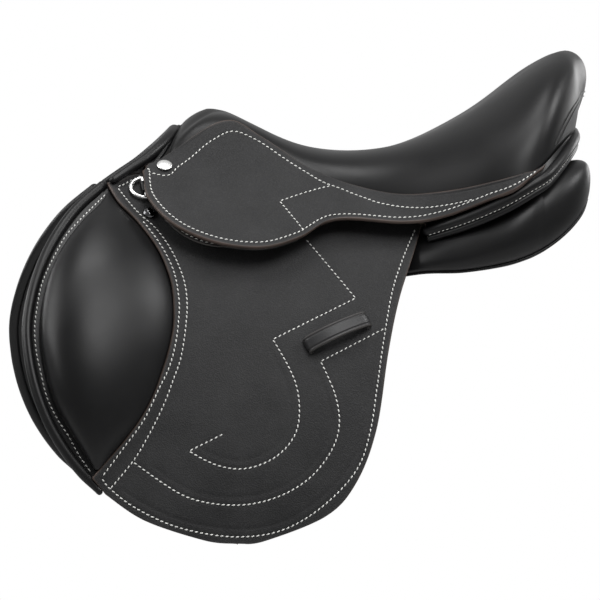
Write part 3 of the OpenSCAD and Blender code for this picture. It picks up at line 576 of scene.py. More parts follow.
ribT = np.linspace(0, lastRib, seat["ribs"])
ribV = np.linspace(-1, 1, 2 * seat["steps"] + 1)
topSkin = fullRibs(ribT, ribV, 0 * ribT)
easing = 0.5 * smooth(14.0, 12.4, ribT)[:, None, None]
for _ in range(seat["ease"]):  # each place moves towards the mean of its four neighbours, over the centre plane too
    wide = np.concatenate([topSkin[1:2, ::-1], topSkin, topSkin[-2:-1, ::-1]])[:, 1:-1]
    topSkin[:, 1:-1] = mix(topSkin[:, 1:-1], (wide[:-2] + wide[2:] + topSkin[:, :-2] + topSkin[:, 2:]) / 4, easing)
topNormals = gridNormals(topSkin)
topNormals = topNormals * np.where((topNormals * (topSkin - [40, 0, 60])).sum(-1, keepdims=True) < 0, -1, 1)
underSkin = fullRibs(ribT, ribV, seat["leather"] + seat["depth"] * curveAt(seat["foam"], ribT))
nu, nv = topSkin.shape[:2]
skinQuads = gridQuads(nu, nv)
i = np.arange(nu - 1)
rimQuads = [np.stack([i * nv + c, i * nv + c + nu * nv, (i + 1) * nv + c + nu * nv, (i + 1) * nv + c], 1) for c in (0, nv - 1)]
allQuads = np.concatenate([skinQuads, skinQuads[:, ::-1] + nu * nv, rimQuads[0][:, ::-1], rimQuads[1]])
which = np.zeros(len(allQuads), int)
which[len(skinQuads):2 * len(skinQuads)] = 1
seatShape = (np.concatenate([topSkin.reshape(-1, 3), underSkin.reshape(-1, 3)]), allQuads, which, {})
seatPiece = centrePiece("seatPad", seatShape, [smoothLeather, foamBack], ("seat_cover", "seat_foam"))

# seam cords as places (t, v) on the seat's ribs: along the front rim, and from the rim round the back of the cantle
seatCords = {
    "front": [[0, 0.97], [0.7, 0.97], [1.4, 0.96], [2.1, 0.95]], "front2": [[0, 0.90], [0.7, 0.89], [1.4, 0.87], [2.1, 0.85]],
    "back": [[13.15, 0.98], [13.42, 0.94], [13.65, 0.91], [13.98, 0.88], [14.68, 0.855], [15, 0.85]],
    "back2": [[13.02, 0.97], [13.3, 0.925], [13.55, 0.89], [13.9, 0.86], [14.68, 0.83], [15, 0.825]], "thick": 0.7,
}
cords = []
for name in ("front", "front2", "back", "back2"):
    at = curveAt(seatCords[name], np.linspace(0, len(seatCords[name]) - 1, 70))
    line, _ = laidOn(seatPoint(at[:, 0], at[:, 1]), topSkin, topNormals)
    cords.append(tube(line, seatCords["thick"], 10))
bothSides("SeatWelt", joined(*cords), [smoothLeather], merge=True)

# pommel roll, the facing above it and the lining of the arch behind it
pommel = {
    "path": [[-171, 0, 138], [-177, -20, 132], [-188, -39, 122], [-204, -55, 109], [-221, -66, 98], [-236, -74, 88]],
    "radius": (7.0, 4.0), "facing": 2.0, "headX": -149.0, "headDeep": 21.0, "headZ": 97.0, "headIn": 33.0, "plate": 3.0,
    "welt": 2.6, "lining": 1.6,
}
s = np.linspace(0, 1, 70)
rollHalf = curveAt(pommel["path"], 5 * s)
rollRadius = mix(*pommel["radius"], np.r_[s[:0:-1], s])
rollShape = tube(overCentre(rollHalf), rollRadius, 20)
centrePiece("pommelRoll", rollShape, [smoothLeather], ("front_roll",))

s = np.linspace(0, 1, 50)
upper = rimAt(2 * s) + [-1.2, 0, 0]
lower = curveAt(pommel["path"], 3.4 * s)
room = np.linalg.norm(upper - lower, axis=1)
reach = np.minimum(mix(*pommel["radius"], 0.6 * s) + 0.8, room - 0.4)[:, None]
facingHalf = mix(upper[:, None], (lower + unit(upper - lower) * reach)[:, None], np.linspace(0, 1, 8)[None, :, None])
facing = overCentre(facingHalf)
facingShape = sheetSolid(facing, facing + [0.5, 0, -pommel["facing"]], bulge=0.3)
centrePiece("pommelFacing", facingShape, [smoothLeather, cutEdge], ("pommel_facing",))
innerLine = overCentre(facingHalf[:, 4] + [-1.0, 0, 0.4])
centrePiece("pommelWelt", tube(innerLine, pommel["welt"], 14), [smoothLeather])

s = np.linspace(0, 1, 40)
a, r = np.radians(90 - 80 * s), pommel["headIn"] - 2.5
b = curveAt(pommel["path"], 4 * s)
w = (mix(*pommel["radius"], 0.8 * s) + 0.8)[:, None]
down = unit(np.stack([0.2 + 0 * s, np.where(b[:, 1] < -1, 0.4, 0), -1 + 0 * s], 1))
archAt = [np.stack([x + 0 * s, -r * np.cos(a), pommel["headZ"] + r * np.sin(a)], 1)
          for x in (pommel["headX"] - pommel["plate"] - 4, pommel["headX"] + pommel["headDeep"])]
rows = np.stack([b + w * down, *archAt], 1)
liningHalf = curveAt(np.moveaxis(rows, 1, 0), np.linspace(0, 2, 24)).transpose(1, 0, 2)
archFace = overCentre(liningHalf)
archBack = archFace + pommel["lining"] * unit((archFace - [0, 0, pommel["headZ"] - 40]) * [0, 1, 1])
archShape = sheetSolid(archFace, archBack, bulge=0.3)
centrePiece("gulletLining", archShape, [strapLeather, cutEdge], ("gullet_lining",))
print("seat and pommel made")

# bead and welt under the cantle
cantle = {
    "path": [[67, -121, 38], [100, -138, 49], [132, -150, 63], [160, -151, 79], [182, -143, 93], [207, -108, 117],
             [222, -64, 130.5], [232, 0, 139]],
    "bead": 10.0, "welt": 6.4, "gap": -0.5,
    "facing": {"ribs": [9.4, 10.2, 11, 12, 13, 14, 15], "bead": [0, 1, 2.05, 3.1, 4.55, 6, 7], "in": 2.5},
}
beadLine = centred(curveAt(cantle["path"], np.linspace(0, 7, 120)))
beadWay = unit(np.gradient(beadLine, axis=0))
beadDown = -unit(np.array([0, 0, 1.0]) - beadWay * beadWay[:, 2:])
weltLine = beadLine + beadDown * ((cantle["bead"] + cantle["welt"]) / 2 + cantle["gap"])
centrePiece("cantleBead", tube(beadLine, cantle["bead"] / 2, 18), [smoothLeather], ("cantle_bead",))
centrePiece("cantleWelt", tube(weltLine, cantle["welt"] / 2, 18), [smoothLeather], ("cantle_welt",))
beadOut = unit(np.cross(beadWay, beadDown))
beadOut = beadOut * np.where((beadOut * (beadLine - [60, 0, 80])).sum(1, keepdims=True) < 0, -1, 1)
sewLine = beadLine + beadDown * cantle["bead"] * 0.42 + beadOut * cantle["bead"] * 0.30
fineSewing = dict(sewing, thick=0.75, length=2.4, pitch=4.6, slant=4.0)
sewn = stitchRow(sewLine, unit(beadOut + beadDown), fineSewing)
centrePiece("cantleStitches", sewn, [thread, holeShade], merge=False)

# facing of the cantle: from under the seat's rim down behind the bead
look = cantle["facing"]
ft = np.linspace(look["ribs"][0], lastRib, 70)
upper = rimAt(ft) + [0, 0, 4.0]
lower = curveAt(cantle["path"], np.interp(ft, look["ribs"], look["bead"]))
inward = unit(([40.0, 0, 0] - upper) * [1, 1, 0]) * look["in"]
half = mix((upper + inward)[:, None], (lower + inward)[:, None], np.linspace(0, 1, 8)[None, :, None])
face = centred(half)
facingShape = sheetSolid(face, face + centred(inward)[:, None], bulge=0.3)
centrePiece("cantleFacing", facingShape, [smoothLeather, cutEdge])

# skirts: from the upper edge on the seat to the lower edge over the flap
skirt = {
    "low": [[-206.5, 97, 16], [-204, 72, 18], [-180, 45, 22], [-141, 28, 25], [-98, 23.5, 25], [-61, 33, 24], [-22, 51, 21],
            [42, 48, 22], [80, 53, 28], [122, 69, 50], [155, 84, 66], [203, 118, 65]],
    "drop": [6, 6, 6, 3, 4.5, 9, 9.5, 8, 5, 4, 3, 3, 4, 6, 6, 6],
    "first": 2.0, "last": 12.45, "lobe": (2.25, 8.2), "thick": 4.0, "steps": (380, 56),
    "groove": 0.45, "grooveWidth": 1.3, "crease": 0.7,
    "upper": [[2.45, 0.743], [2.7, 0.69], [2.85, 0.65], [2.95, 0.598], [2.97, 0.48], [3.16, 0.338], [3.38, 0.217], [3.69, 0.143],
              [4.02, 0.092], [4.22, 0.075], [4.47, 0.06], [4.91, 0.045], [5.41, 0.048], [6.16, 0.072], [6.86, 0.103], [7.49, 0.205],
              [8.02, 0.238], [8.4, 0.343], [8.61, 0.417], [9.34, 0.522], [10.11, 0.583], [10.56, 0.657]],
    "vee": [[7.49, 0.22], [6.17, 0.535], [7.06, 0.94]], "inset": 5.0, "sewn": (2.05, 12.25),
}
lobeStart, lobeEnd = atSide((-209, 93.5), 497.0), atSide((-8, 55), 501.0)


def skirtLow(t):
    q = curveAt(skirt["low"], t - skirt["first"])
    return atSide(q[..., :2], flank["r"] + q[..., 2])


def skirtTop(t):
    p = curveAt(seat["seam"], t)
    p = p + outward(p) * (skirt["thick"] + 0.6 + 1.5 * np.clip(t - 11, 0, 1))[..., None]
    ahead, aside = 15 * np.clip(3 - t, 0, None) ** 1.5, 3 * np.clip(1 - np.abs(t - 2.6), 0, None)
    return p - np.stack([ahead, aside, curveAt(skirt["drop"], t)], -1)


# skirt place: straight from upper to lower edge, plus a bow that passes through the lobe's bend line
def skirtPoint(t, v):
    t, v = np.broadcast_arrays(np.asarray(t, float), np.asarray(v, float))
    top, low = skirtTop(t), skirtLow(t)
    close = 0.45 * smooth(11.7, skirt["last"], t)[..., None]  # the edges meet in a point at the rear
    top, low = mix(top, low, close), mix(low, top, close)
    share = np.clip((t - skirt["lobe"][0]) / (skirt["lobe"][1] - skirt["lobe"][0]), 0, 1)
    bend = mix(lobeStart, lobeEnd, share[..., None])
    span = low - top
    m = np.clip(((bend - top) * span).sum(-1) / (span**2).sum(-1), 0.3, 0.7)
    bow = (bend - top) - ((bend - top) * span).sum(-1, keepdims=True) / (span**2).sum(-1, keepdims=True) * span
    weight = smooth(skirt["lobe"][0], skirt["lobe"][0] + 0.6, t) * (1 - smooth(skirt["lobe"][1] - 0.6, skirt["lobe"][1], t))
    return top + span * v[..., None] + bow * (weight * v * (1 - v) / (m * (1 - m)))[..., None]


tt = np.linspace(skirt["first"], skirt["last"], skirt["steps"][0])
vv = np.linspace(0, 1, skirt["steps"][1])
skirtFace = skirtPoint(tt[:, None], vv[None])
skirtNormal = gridNormals(skirtFace)
skirtNormal = skirtNormal * np.where((skirtNormal * outward(skirtFace)).sum(-1, keepdims=True) < 0, -1, 1)


def onSkirt(t, v):  # line on the skirt with its normals
    p = skirtPoint(t, v)
    n = unit(np.cross(skirtPoint(t + 0.02, v) - skirtPoint(t - 0.02, v), skirtPoint(t, v + 0.02) - skirtPoint(t, v - 0.02)))
    return p, n * np.where((n * outward(p)).sum(-1, keepdims=True) < 0, -1, 1)


sewT, sewV = np.linspace(*skirt["sewn"], 500), np.linspace(0.1, 1, 451)
lowLine = skirtPoint(np.linspace(skirt["first"], skirt["last"], 900), 1.0)
# the lower row keeps one distance from the edge
inside = farFrom(skirtPoint(sewT[:, None], sewV[None]), lowLine) >= skirt["inset"]
lowV = sewV[len(sewV) - 1 - np.argmax(inside[:, ::-1], axis=1)]
tail = sewT > 11.5
lowV[tail] = mix(lowV[~tail][-1], 0.55, (sewT[tail] - 11.5) / 0.8)  # into the rear point
upperAt = curveAt(skirt["upper"], np.linspace(0, len(skirt["upper"]) - 1, 600))
vee = np.array([skirtPoint(t, v) for t, v in skirt["vee"]])
rows = [skirtPoint(sewT, lowV), skirtPoint(upperAt[:, 0], upperAt[:, 1])]
rows += [mix(a, b, np.linspace(0, 1, 80)[:, None]) for a, b in zip(vee, vee[1:])]
skirtSeams = [laidOn(row, skirtFace, skirtNormal) for row in rows]
seamLines = [line for line, _ in skirtSeams]
sunk = groove(skirtFace, seamLines, skirt["grooveWidth"]) * skirt["groove"]
topEdge = skirtPoint(np.linspace(2.3, 11.6, 900), 0.0)
sunk = sunk + skirt["crease"] * np.exp(-((farFrom(skirtFace, topEdge) - 2.4) / 0.9) ** 2)
skirtOuter = skirtFace - skirtNormal * sunk[..., None]
skirtInner = skirtFace - skirtNormal * skirt["thick"]
skirtShape = sheetSolid(skirtOuter, skirtInner, bulge=0.85)
bothSides("Skirt", skirtShape, [grainedLeather, cutEdge],
          replaces=("skirt", "skirt_lobe"), bend=skirtBend, merge=True)
sewn = joined(*[stitchRow(line - n * skirt["groove"] * 0.5, n) for line, n in skirtSeams])
bothSides("SkirtStitches", sewn, [thread, holeShade], bend=skirtBend)

# lining under the lifting part, its edge showing below the front of the skirt
lining = {"along": (3.7, 6.95), "down": (0.45, 1.0), "steps": (120, 30), "thick": 1.4, "gap": 0.5,
          "drop": 3.3, "dropAt": 4.5, "dropWidth": 0.65, "sewn": (4.0, 4.95)}
lt = np.linspace(*lining["along"], lining["steps"][0])
lv = np.linspace(*lining["down"], lining["steps"][1])
liningFace, liningNormal = onSkirt(*np.broadcast_arrays(lt[:, None], lv[None]))
drop = lining["drop"] * np.clip(1 - ((lt - lining["dropAt"]) / lining["dropWidth"]) ** 2, 0, 1)[:, None] * smooth(0.6, 1.0, lv)[None]
liningFace = liningFace - liningNormal * (skirt["thick"] + lining["gap"]) - drop[..., None] * np.array([0, 0, 1.0])
liningShape = sheetSolid(liningFace, liningFace - liningNormal * lining["thick"])
bothSides("SkirtLining", liningShape, [strapLeather, strapLeather],
          replaces=("skirt_lining",), bend=skirtBend, merge=True)
shown = (lt > lining["sewn"][0]) & (lt < lining["sewn"][1])
sewn = stitchRow(liningFace[shown, -2], liningNormal[shown, -2])
bothSides("LiningStitches", sewn, [thread, holeShade], body="skirt_lobe_body")
print("skirts made")

# flaps: a base leather with the knee pad, and a grained cover over its rear
flap = {
    "front": [[-244, 79], [-270, 57], [-289, 33], [-303, 8], [-314, -22], [-320, -54], [-318, -86], [-311, -117], [-299, -147],
              [-283, -173], [-265, -195]],
    "coverFront": [[-241, 83], [-231, 65], [-218, 51], [-207, 37], [-197, 22], [-190, 7], [-184, -14], [-183, -35], [-184, -55],
                   [-189, -76], [-196, -97], [-204, -117], [-216, -139], [-231, -159], [-245, -175], [-264, -196]],
    "low": [[-252, -211], [-215, -236], [-159, -255], [-130, -258.5]],
    "rear": [[62, 44], [53, 20], [34, -27], [20, -79], [5.5, -152], [-15, -202], [-44, -233], [-102, -256], [-126, -258.5]],
    "topRise": [[0, 0], [0.036, 4.5], [0.075, 12], [0.12, 18.5], [0.27, 17], [0.5, 18.4], [0.73, 15.5], [0.93, 10], [1, 0]],
    "baseRise": [[0, 0], [0.02, 8], [0.06, 16.5], [0.12, 20], [0.27, 16], [0.5, 17.4], [0.73, 14.5], [0.93, 9], [1, 0]],
    "base": (475.5, 478.2), "cover": (478.3, 480.0), "lap": 3.4, "lapWidth": 13.0,
    "coverSteps": (210, 165), "baseSteps": (130, 90), "groove": 0.5, "grooveWidth": 1.4, "crease": 0.4, "creaseWidth": 1.7,
    "window": ((-142, 76), (-56, 50)),
}
flapSeams = {
    "topRow": [[[-232, 80.5], [-220, 87], [-208, 92.5]]],
    "lineOne": [[[-210, 46], [-204, 38], [-197, 28], [-189, 14], [-182, -4], [-179, -25], [-179, -41], [-183, -68], [-190, -92],
                 [-201, -114], [-216, -143], [-235, -168], [-255, -194]]],
    "lineTwo": [[[-232, 79], [-214, 55], [-198, 41], [-185, 22], [-177, 4], [-172, -14], [-171, -35], [-174, -60], [-179, -84],
                 [-187, -105], [-196, -127], [-211, -156], [-226, -180], [-248, -206]]],
    "border": [[[-256, -196], [-248, -206], [-226, -223], [-194, -239], [-162, -248], [-127, -252], [-92, -248], [-61, -234],
                [-30, -209], [-10, -183], [1, -150], [8, -113], [17, -66], [28, -21], [41, 11], [56, 40]]],
    "innerHook": [[[-52, 30], [-8, -27]], [[-8, -27], [-90, -66]],
                  [[-90, -66], [-78, -88], [-70, -107], [-67, -127], [-69, -148], [-77, -164], [-91, -177], [-108, -185], [-124, -188],
                   [-141, -186], [-157, -180], [-173, -171]], [[-173, -171], [-140, -155]]],
    "outerHook": [[[18, -56], [-45, -87]],
                  [[-45, -87], [-38, -103], [-32, -120], [-29, -142], [-33, -162], [-44, -181], [-60, -198], [-81, -211], [-104, -219],
                   [-127, -222], [-154, -220], [-178, -213], [-201, -199], [-226, -181]]],
}


# flap grid: straight rows from the front border to the rear border, raised along the top edge
def flapGrid(front, low, rear, steps, rise):
    left = np.concatenate([smoothLine(front, 0.5), smoothLine(low, 0.5)[1:]])
    left, right = evenly(left, steps[0]), evenly(smoothLine(rear, 0.5), steps[0])
    u = np.linspace(0, 1, steps[1])
    grid = mix(left[:, None], right[:, None], u[None, :, None])
    v = np.linspace(0, 1, steps[0])
    rise = np.asarray(rise, float)
    grid[..., 1] += np.interp(u, rise[:, 0], rise[:, 1])[None] * ((1 - v) ** 6)[:, None]
    return grid


coverEdge = smoothLine(flap["coverFront"], 1.0)


def coverRadius(q):  # the cover climbs over the pad's rear edge
    return flap["cover"][1] + flap["lap"] * (1 - smooth(0, flap["lapWidth"], farFrom(q, coverEdge)))


coverGrid = flapGrid(flap["coverFront"], flap["low"], flap["rear"], flap["coverSteps"], flap["topRise"])
seamXz = {name: [smoothLine(part, 1.0) for part in parts] for name, parts in flapSeams.items()}
seamAll = [part for parts in seamXz.values() for part in parts]
sunk = flap["groove"] * groove(coverGrid, seamAll, flap["grooveWidth"])


def beside(line, gap):  # the same line moved sideways by the gap
    way = unit(np.gradient(line, axis=0))
    return line + gap * np.stack([-way[:, 1], way[:, 0]], 1)


creases = [beside(seamXz["border"][0], 7.5)[24:-25], beside(seamXz["innerHook"][2], -8.0)[8:-12],
           beside(seamXz["outerHook"][1], -7.5)[8:-20]]
sunk = sunk + flap["crease"] * groove(coverGrid, creases, flap["creaseWidth"])
outerRadius = coverRadius(coverGrid)
coverFace = onSide(coverGrid, outerRadius - sunk)
coverBack = onSide(coverGrid, flap["cover"][0] + (outerRadius - flap["cover"][1]) * 0.35)
(wx0, wz0), (wx1, wz1) = flap["window"]


def outsideWindow(grid):  # grid cells kept: all but a block over the stirrup bar
    c = (grid[:-1, :-1] + grid[1:, 1:]) / 2
    inside = (c[..., 0] > wx0) & (c[..., 0] < wx1) & (c[..., 1] < wz0) & (c[..., 1] > wz1)
    rows, cols = np.where(inside)
    keep = np.ones(inside.shape, bool)
    keep[rows.min():rows.max() + 1, cols.min():cols.max() + 1] = False
    return keep


coverShape = sheetSolid(coverFace, coverBack, keep=outsideWindow(coverGrid), bulge=0.85)
bothSides("FlapCover", coverShape, [grainedLeather, cutEdge],
          replaces=("flap", "flap_top"), bend=flapBend, merge=True)
sewn = []
for parts in seamXz.values():
    for part in parts:
        line = onSide(part, coverRadius(part) - flap["groove"] * 0.5)
        sewn.append(stitchRow(line, outward(line)))
bothSides("FlapStitches", joined(*sewn), [thread, holeShade], bend=flapBend)

baseLow = np.array(flap["low"]) + [0, 0.9]
baseRear = np.array(flap["rear"]) + [-0.9, 0.2]
baseGrid = flapGrid(flap["front"], baseLow, baseRear, flap["baseSteps"], flap["baseRise"])
baseFace, baseBack = onSide(baseGrid, flap["base"][1]), onSide(baseGrid, flap["base"][0])
baseShape = sheetSolid(baseFace, baseBack, keep=outsideWindow(baseGrid), bulge=0.5)
bothSides("FlapBase", baseShape, [smoothLeather, cutEdge], bend=flapBend, merge=True)
borderSeam = smoothLine([[-244, 75], [-266, 54], [-284, 35], [-295, 17], [-304, 0], [-310, -15], [-314, -33], [-317, -54], [-316, -76],
                         [-312, -96], [-307, -118], [-298, -138], [-286, -157], [-277, -174], [-266, -190]])
line = onSide(borderSeam, flap["base"][1])
bothSides("BorderStitches", stitchRow(line, outward(line)), [thread, holeShade], bend=flapBend)
print("flaps made")

# knee pads: crowned between front and rear edge, fuller towards the front
kneePad = {
    "edges": [[76, -242, -240], [62, -252, -231], [44, -270, -214], [20, -288.5, -198], [-6, -302, -188], [-34, -310, -184],
              [-64, -312.5, -187], [-94, -308.5, -196], [-122, -301, -207], [-148, -288, -223], [-172, -273, -243], [-188, -263, -256]],
    "crown": [0.02, 0.18, 0.4, 0.65, 0.86, 0.98, 1, 0.96, 0.86, 0.7, 0.46, 0.12],
    "height": 33.0, "foot": 478.4, "edge": 1.2, "steps": (120, 64), "fill": 0.9,
}
pt = np.linspace(0, len(kneePad["crown"]) - 1, kneePad["steps"][0])
pu = 0.5 - 0.5 * np.cos(math.pi * np.linspace(0, 1, kneePad["steps"][1]))
edges, crown = curveAt(kneePad["edges"], pt), curveAt(kneePad["crown"], pt)
padGrid = np.stack(np.broadcast_arrays(mix(edges[:, 1:2], edges[:, 2:3], pu[None]), edges[:, :1]), -1)
swell = pu ** 0.38 * (1 - pu) ** 0.7 / 0.4965  # steep at the front, fullest a third back, then a long fall
padHigh = kneePad["edge"] + kneePad["height"] * crown[:, None] * swell[None]
padFace, padBack = onSide(padGrid, kneePad["foot"] + padHigh), onSide(padGrid, kneePad["foot"] - 0.1)
padShape = sheetSolid(padFace, padBack, bulge=0.2, rub=1.0)
bothSides("KneePad", padShape, [smoothLeather, smoothLeather], body="flap_body",
          replaces=("knee_pad",), merge=True)

# rolled front edge of the flap
edgeRoll = {"size": 10.5, "radius": 477.75, "gap": -1.2}
line = smoothLine(flap["front"] + [[-255, -206]], 2.0)
way = unit(np.gradient(line, axis=0))
rollAt = atSide(line + (edgeRoll["size"] / 2 + edgeRoll["gap"]) * np.stack([way[:, 1], -way[:, 0]], 1), edgeRoll["radius"])
rollThick = edgeRoll["size"] / 2 * (0.6 + 0.4 * smooth(0, 12, np.arange(len(line))[::-1]))
bothSides("EdgeRoll", tube(rollAt, rollThick, 18), [smoothLeather], body="flap_body",
          replaces=("edge_roll",), merge=True)

# stirrup leather keeper: a flat strap that rises over the stirrup leather, its folded ends sewn down
keeper = {"at": (-28, -61), "turn": -25.0, "width": 15.0, "strap": 3.0, "crease": 2.2,
          "path": [[-29, 0.2], [-31, 2.0], [-30.5, 4.6], [-26, 7.0], [-13, 9.6], [0, 10.4], [13, 9.6], [26, 7.0],
                   [30.5, 4.6], [31, 2.0], [29, 0.2]]}


# local frame on the flap's face: x to the rear, z up the leather, out away from the horse
def onFlap(at, turn, local):
    c, s = math.cos(math.radians(turn)), math.sin(math.radians(turn))
    x, z = local[..., 0] * c + local[..., 2] * s, -local[..., 0] * s + local[..., 2] * c
    tilt = math.asin((at[1] - flank["z"]) / flank["r"])
    depth = flank["r"] + local[..., 1]
    y3 = flank["y"] - depth * math.cos(tilt) + z * math.sin(tilt)
    z3 = flank["z"] + depth * math.sin(tilt) + z * math.cos(tilt)
    return np.stack([at[0] + x, y3, z3], -1)


path = smoothLine(keeper["path"], 0.7)
w = np.linspace(-1, 1, 28)
under = np.stack(np.broadcast_arrays(path[:, :1], path[:, 1:], w[None] * keeper["width"] / 2), -1)
way = unit(np.gradient(path, axis=0))
lift = np.stack([-way[:, 1], way[:, 0]], 1)
fromEdge = (1 - np.abs(w)) * keeper["width"] / 2
crease = 0.8 * np.exp(-(((fromEdge - keeper["crease"]) / 0.7) ** 2))
thick = keeper["strap"] - crease[None] - 0.5 * np.exp(-fromEdge / 0.8)[None]
over = under + np.insert(lift, 2, 0.0, axis=1)[:, None] * thick[..., None]
over, under = (onFlap(keeper["at"], keeper["turn"], local) for local in (over, under))
# the keeper's bevels are lightened over a wider band, as wear and painted highlight
keeperShape = sheetSolid(over, under, bulge=0.5, rub=1.5)
bothSides("Keeper", keeperShape, [strapLeather, strapLeather], body="flap_body",
          replaces=("keeper",), merge=True)
print("pads, rolls and keepers made")

# metal on the front: saddle nail, stud and dee
metalware = {
    "nail": 15.0, "nailAt": (2.62, 0.485), "nailRise": 1.7, "nailTilt": 0.35, "stud": 13.0, "studAt": (-203, 55), "studRise": 4.2,
    "dee": 13.4, "wire": 3.8, "deeAt": (-206, 78), "deeTurn": -8.0, "deeUp": 3.6,
}
k = np.radians(np.linspace(0, 90, 14))
spotOn, spotOut = onSkirt(np.array([metalware["nailAt"][0]]), np.array([metalware["nailAt"][1]]))
r = metalware["nail"] / 2
nailProfile = np.concatenate([[[0.001, -0.2], [r, -0.2]], np.stack([r * np.cos(k) + 1e-3, 0.7 + metalware["nailRise"] * np.sin(k)], 1)])
nailShape = turned(nailProfile, spotOn[0], spotOut[0] + [0, 0, metalware["nailTilt"]])
bothSides("SaddleNail", nailShape, [nickel], replaces=("saddle_nail",), merge=True)
r = metalware["stud"] / 2
studProfile = np.concatenate([[[0.001, 0], [r, 0]], np.stack([r * np.cos(k) + 1e-3, 0.5 + metalware["studRise"] * np.sin(k)], 1)])
studOn = onSide(metalware["studAt"], flank["r"] + 0.1)
bothSides("FlapStud", turned(studProfile, studOn, outward(studOn)), [darkMetal], body="flap_body",
          replaces=("flap_stud",), merge=True)
k = np.radians(np.linspace(90, 270, 40))
r = metalware["dee"]
bow = np.stack([r * np.cos(k), r * np.sin(k)], 1)
bar = np.stack([0 * np.linspace(-1, 1, 20), np.linspace(-r, r, 20)], 1)[1:-1]
loop = np.concatenate([bow, bar])
loop = evenly(np.concatenate([loop, loop[:1]]), 90)[:-1]
deeLine = onFlap(metalware["deeAt"], metalware["deeTurn"], np.insert(loop, 1, metalware["deeUp"], axis=1))
deeOut = outward(onSide(metalware["deeAt"], flank["r"]))
deeShape = tube(deeLine, metalware["wire"] / 2, 14, closed=True, ref=tuple(deeOut))
bothSides("Dee", deeShape, [nickel], body="dee_body", replaces=("dee",), merge=True)

# sweat flaps under the billets
sweat = {
    "front": [[-225, 40], [-262, 20], [-286, -20], [-294, -70], [-284, -120], [-258, -168]],
    "low": [[-258, -168], [-215, -200], [-150, -215], [-122, -214.5]],
    "rear": [[22, 40], [16, 0], [2, -60], [-14, -120], [-40, -180], [-85, -210], [-118, -214.5]],
    "radius": (458.2, 461.3), "steps": (110, 80),
}
sweatGrid = flapGrid(sweat["front"], sweat["low"], sweat["rear"], sweat["steps"], [[0, 0], [1, 0]])
sweatShape = sheetSolid(onSide(sweatGrid, sweat["radius"][1]), onSide(sweatGrid, sweat["radius"][0]), bulge=0.5)
bothSides("SweatFlap", sweatShape, [strapLeather, cutEdge], replaces=("sweat_flap",), merge=True)

# panels: soft-cornered sections along the saddle, with piping on the lower edge
panel = {
    "rows": [[-192, -40, 38, -60, 26, -42, 22, -68, 12], [-175, -37, 46, -64, 27, -40, 8, -95, -38],
             [-130, -36, 50, -62, 34, -39, 2, -106, -60], [-80, -35, 56, -60, 40, -38, 6, -110, -56],
             [-30, -35, 60, -58, 44, -37, 12, -110, -40], [15, -35, 58, -68, 38, -37, 14, -116, -23],
             [60, -35, 56, -116, 34, -37, 12, -137, -11], [100, -35, 60, -138, 48, -37, 12, -150, -11],
             [140, -35, 72, -150, 66, -38, 18, -153, -6], [164, -36, 84, -149, 82, -39, 26, -149, 0],
             [178, -37, 94, -141, 92, -41, 32, -145, 6]],
    "soft": 0.85, "steps": (150, 64), "nose": (2.5, 55.0), "turn": (13.0, 30.0), "piping": 2.8, "piped": (85, -9), "fill": 0.85,
}


# panel section: corners joined bilinearly by a squared circle of angle a
def panelPoint(t, a):
    c = curveAt(panel["rows"], t)
    soft = lambda k: np.sign(k) * np.abs(k) ** panel["soft"]
    u, v = ((1 + soft(np.cos(a))) / 2)[..., None], ((1 + soft(np.sin(a))) / 2)[..., None]
    yz = mix(mix(c[..., 5:7], c[..., 7:9], u), mix(c[..., 1:3], c[..., 3:5], u), v)
    return np.concatenate([c[..., :1], yz], -1)


pt = np.linspace(0, len(panel["rows"]) - 1, panel["steps"][0])
pa = 2 * math.pi * np.arange(panel["steps"][1]) / panel["steps"][1]
rings = panelPoint(*np.broadcast_arrays(pt[:, None], pa[None]))
tipA, tipB = rings[0].mean(0), rings[-1].mean(0)
k = np.linspace(0, math.pi / 2, 40)[1:, None, None]
high = (rings[-1] - tipB)[:, 2:] / np.ptp(rings[-1][:, 2])
shrink = np.cos(k) ** (0.7 - 0.45 * high)  # the upper half stays full longer
capA = tipA + (rings[0] - tipA) * np.cos(k[::-1]) - np.sin(k[::-1]) * np.array([panel["nose"][0], 0, 0])
capB = tipB + (rings[-1] - tipB) * shrink + np.sin(k) * np.array([panel["nose"][1], *panel["turn"]])
rings = np.concatenate([capA, rings, capB])
quads = gridQuads(len(rings), rings.shape[1], wrapV=True)
panelShape = (rings.reshape(-1, 3), quads, np.zeros(len(quads), int), {})
bothSides("Panel", panelShape, [smoothLeather], replaces=("panel",), merge=True)
piped = rings[panel["piped"][0]:panel["piped"][1]]
pipe = piped[:, panel["steps"][1] * 7 // 8]  # along the lower outer corner of the sections
pipeRadius = panel["piping"] / 2 * (0.3 + 0.7 * smooth(0, 8, np.arange(len(pipe))[::-1]))
pipeLine = pipe + unit(pipe - piped.mean(1)) * pipeRadius[:, None] * 0.7
bothSides("PanelPiping", tube(pipeLine, pipeRadius, 12), [smoothLeather], replaces=("panel_piping",), merge=True)
print("panels made")

# carried-over CAD nodes get their finish
finishes = {
    "tree_head": treeWood, "tree_frame": treeWood, "tree_wing": treeWood, "head_plate": forgedSteel, "tree_rivets": forgedSteel,
    "seat_web": webbing, "girth_web": webbing, "stirrup_bar": forgedSteel, "bar_catch": forgedSteel, "catch_pin": forgedSteel,
    "billet_rivets": forgedSteel, "chape": strapLeather, "front_billet": strapLeather, "middle_billet": strapLeather,
    "rear_billet": strapLeather,
}
for name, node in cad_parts.items():
    finish = finishes.get(name.replace("near_", "").replace("off_", ""))
    if finish:
        node.data.materials.clear()
        node.data.materials.append(finish)

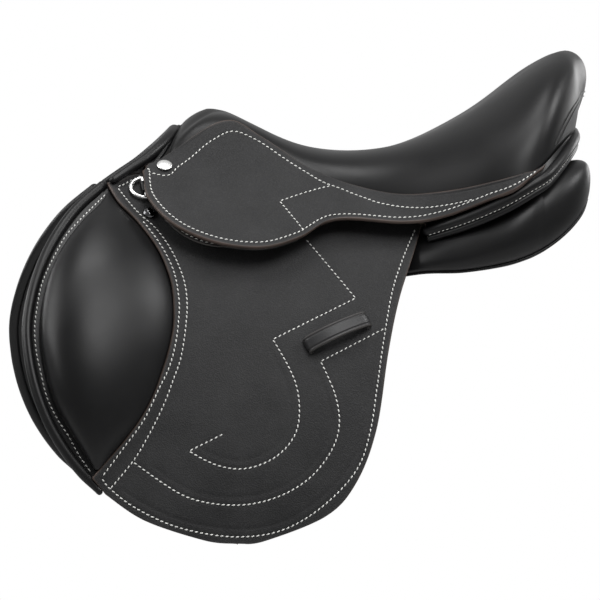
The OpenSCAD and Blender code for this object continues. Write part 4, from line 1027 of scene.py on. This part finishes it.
# floor, light and background
studio = {
    "floor": -0.95, "floorSize": 6.0, "floorTone": 0.7, "ambient": 0.15, "room": (0.35, 0.6),
    "lamps": [  # name, place, size, power
        ("keyBox", (0.5, -1.85, 2.0), 1.4, 62), ("topBox", (-0.2, -0.6, 2.8), 1.2, 42), ("leftBox", (-2.1, -0.3, 1.2), 1.5, 40),
        ("rightBox", (1.9, -0.5, 1.75), 0.8, 38), ("rimBox", (2.0, 1.9, 0.7), 0.9, 12), ("backBox", (-2.3, 1.9, 0.8), 0.9, 12)],
}
h = studio["floorSize"]
floorMesh = bpy.data.meshes.new("floor")
z = studio["floor"]
floorMesh.from_pydata([(-h, -h, z), (h, -h, z), (h, h, z), (-h, h, z)], [], [(0, 1, 2, 3)])
floor = bpy.data.objects.new("floor", floorMesh)
bpy.context.scene.collection.objects.link(floor)
floorFinish, tree, skin = startMaterial("paleFloor")
tone = studio["floorTone"]
skin.inputs["Base Color"].default_value = (tone, tone, tone, 1)
skin.inputs["Roughness"].default_value = 0.9
floorMesh.materials.append(floorFinish)
for name, place, size, power in studio["lamps"]:
    lamp = bpy.data.lights.new(name, "AREA")
    lamp.energy, lamp.size = power, size
    lampPiece = bpy.data.objects.new(name, lamp)
    lampPiece.location = place
    lampPiece.rotation_mode = "QUATERNION"
    lampPiece.rotation_quaternion = (Vector((-0.05, 0, 0)) - Vector(place)).to_track_quat("-Z", "Y")
    bpy.context.scene.collection.objects.link(lampPiece)
world = bpy.data.worlds.new("studio")
bpy.context.scene.world = world
world.use_nodes = True
tree = world.node_tree
tree.nodes.clear()
path = put(tree, "ShaderNodeLightPath").outputs
way = put(tree, "ShaderNodeSeparateXYZ", {0: put(tree, "ShaderNodeTexCoord").outputs["Generated"]}).outputs[1]
# glossy rays see a room that is lighter behind the saddle than in front of it
room = put(tree, "ShaderNodeMapRange", {0: way, 1: -0.1, 2: 0.5, 3: studio["room"][0], 4: studio["room"][1]}).outputs[0]
shine = maths(tree, "MULTIPLY", path["Is Glossy Ray"], room)
seen = maths(tree, "MAXIMUM", maths(tree, "MAXIMUM", path["Is Camera Ray"], shine), path["Is Transmission Ray"])
strength = maths(tree, "MAXIMUM", seen, studio["ambient"])
sky = put(tree, "ShaderNodeBackground", {"Color": (1, 1, 1, 1), "Strength": strength})
put(tree, "ShaderNodeOutputWorld", {"Surface": sky.outputs[0]})
bpy.context.scene.view_settings.view_transform = "Standard"
print("studio made")
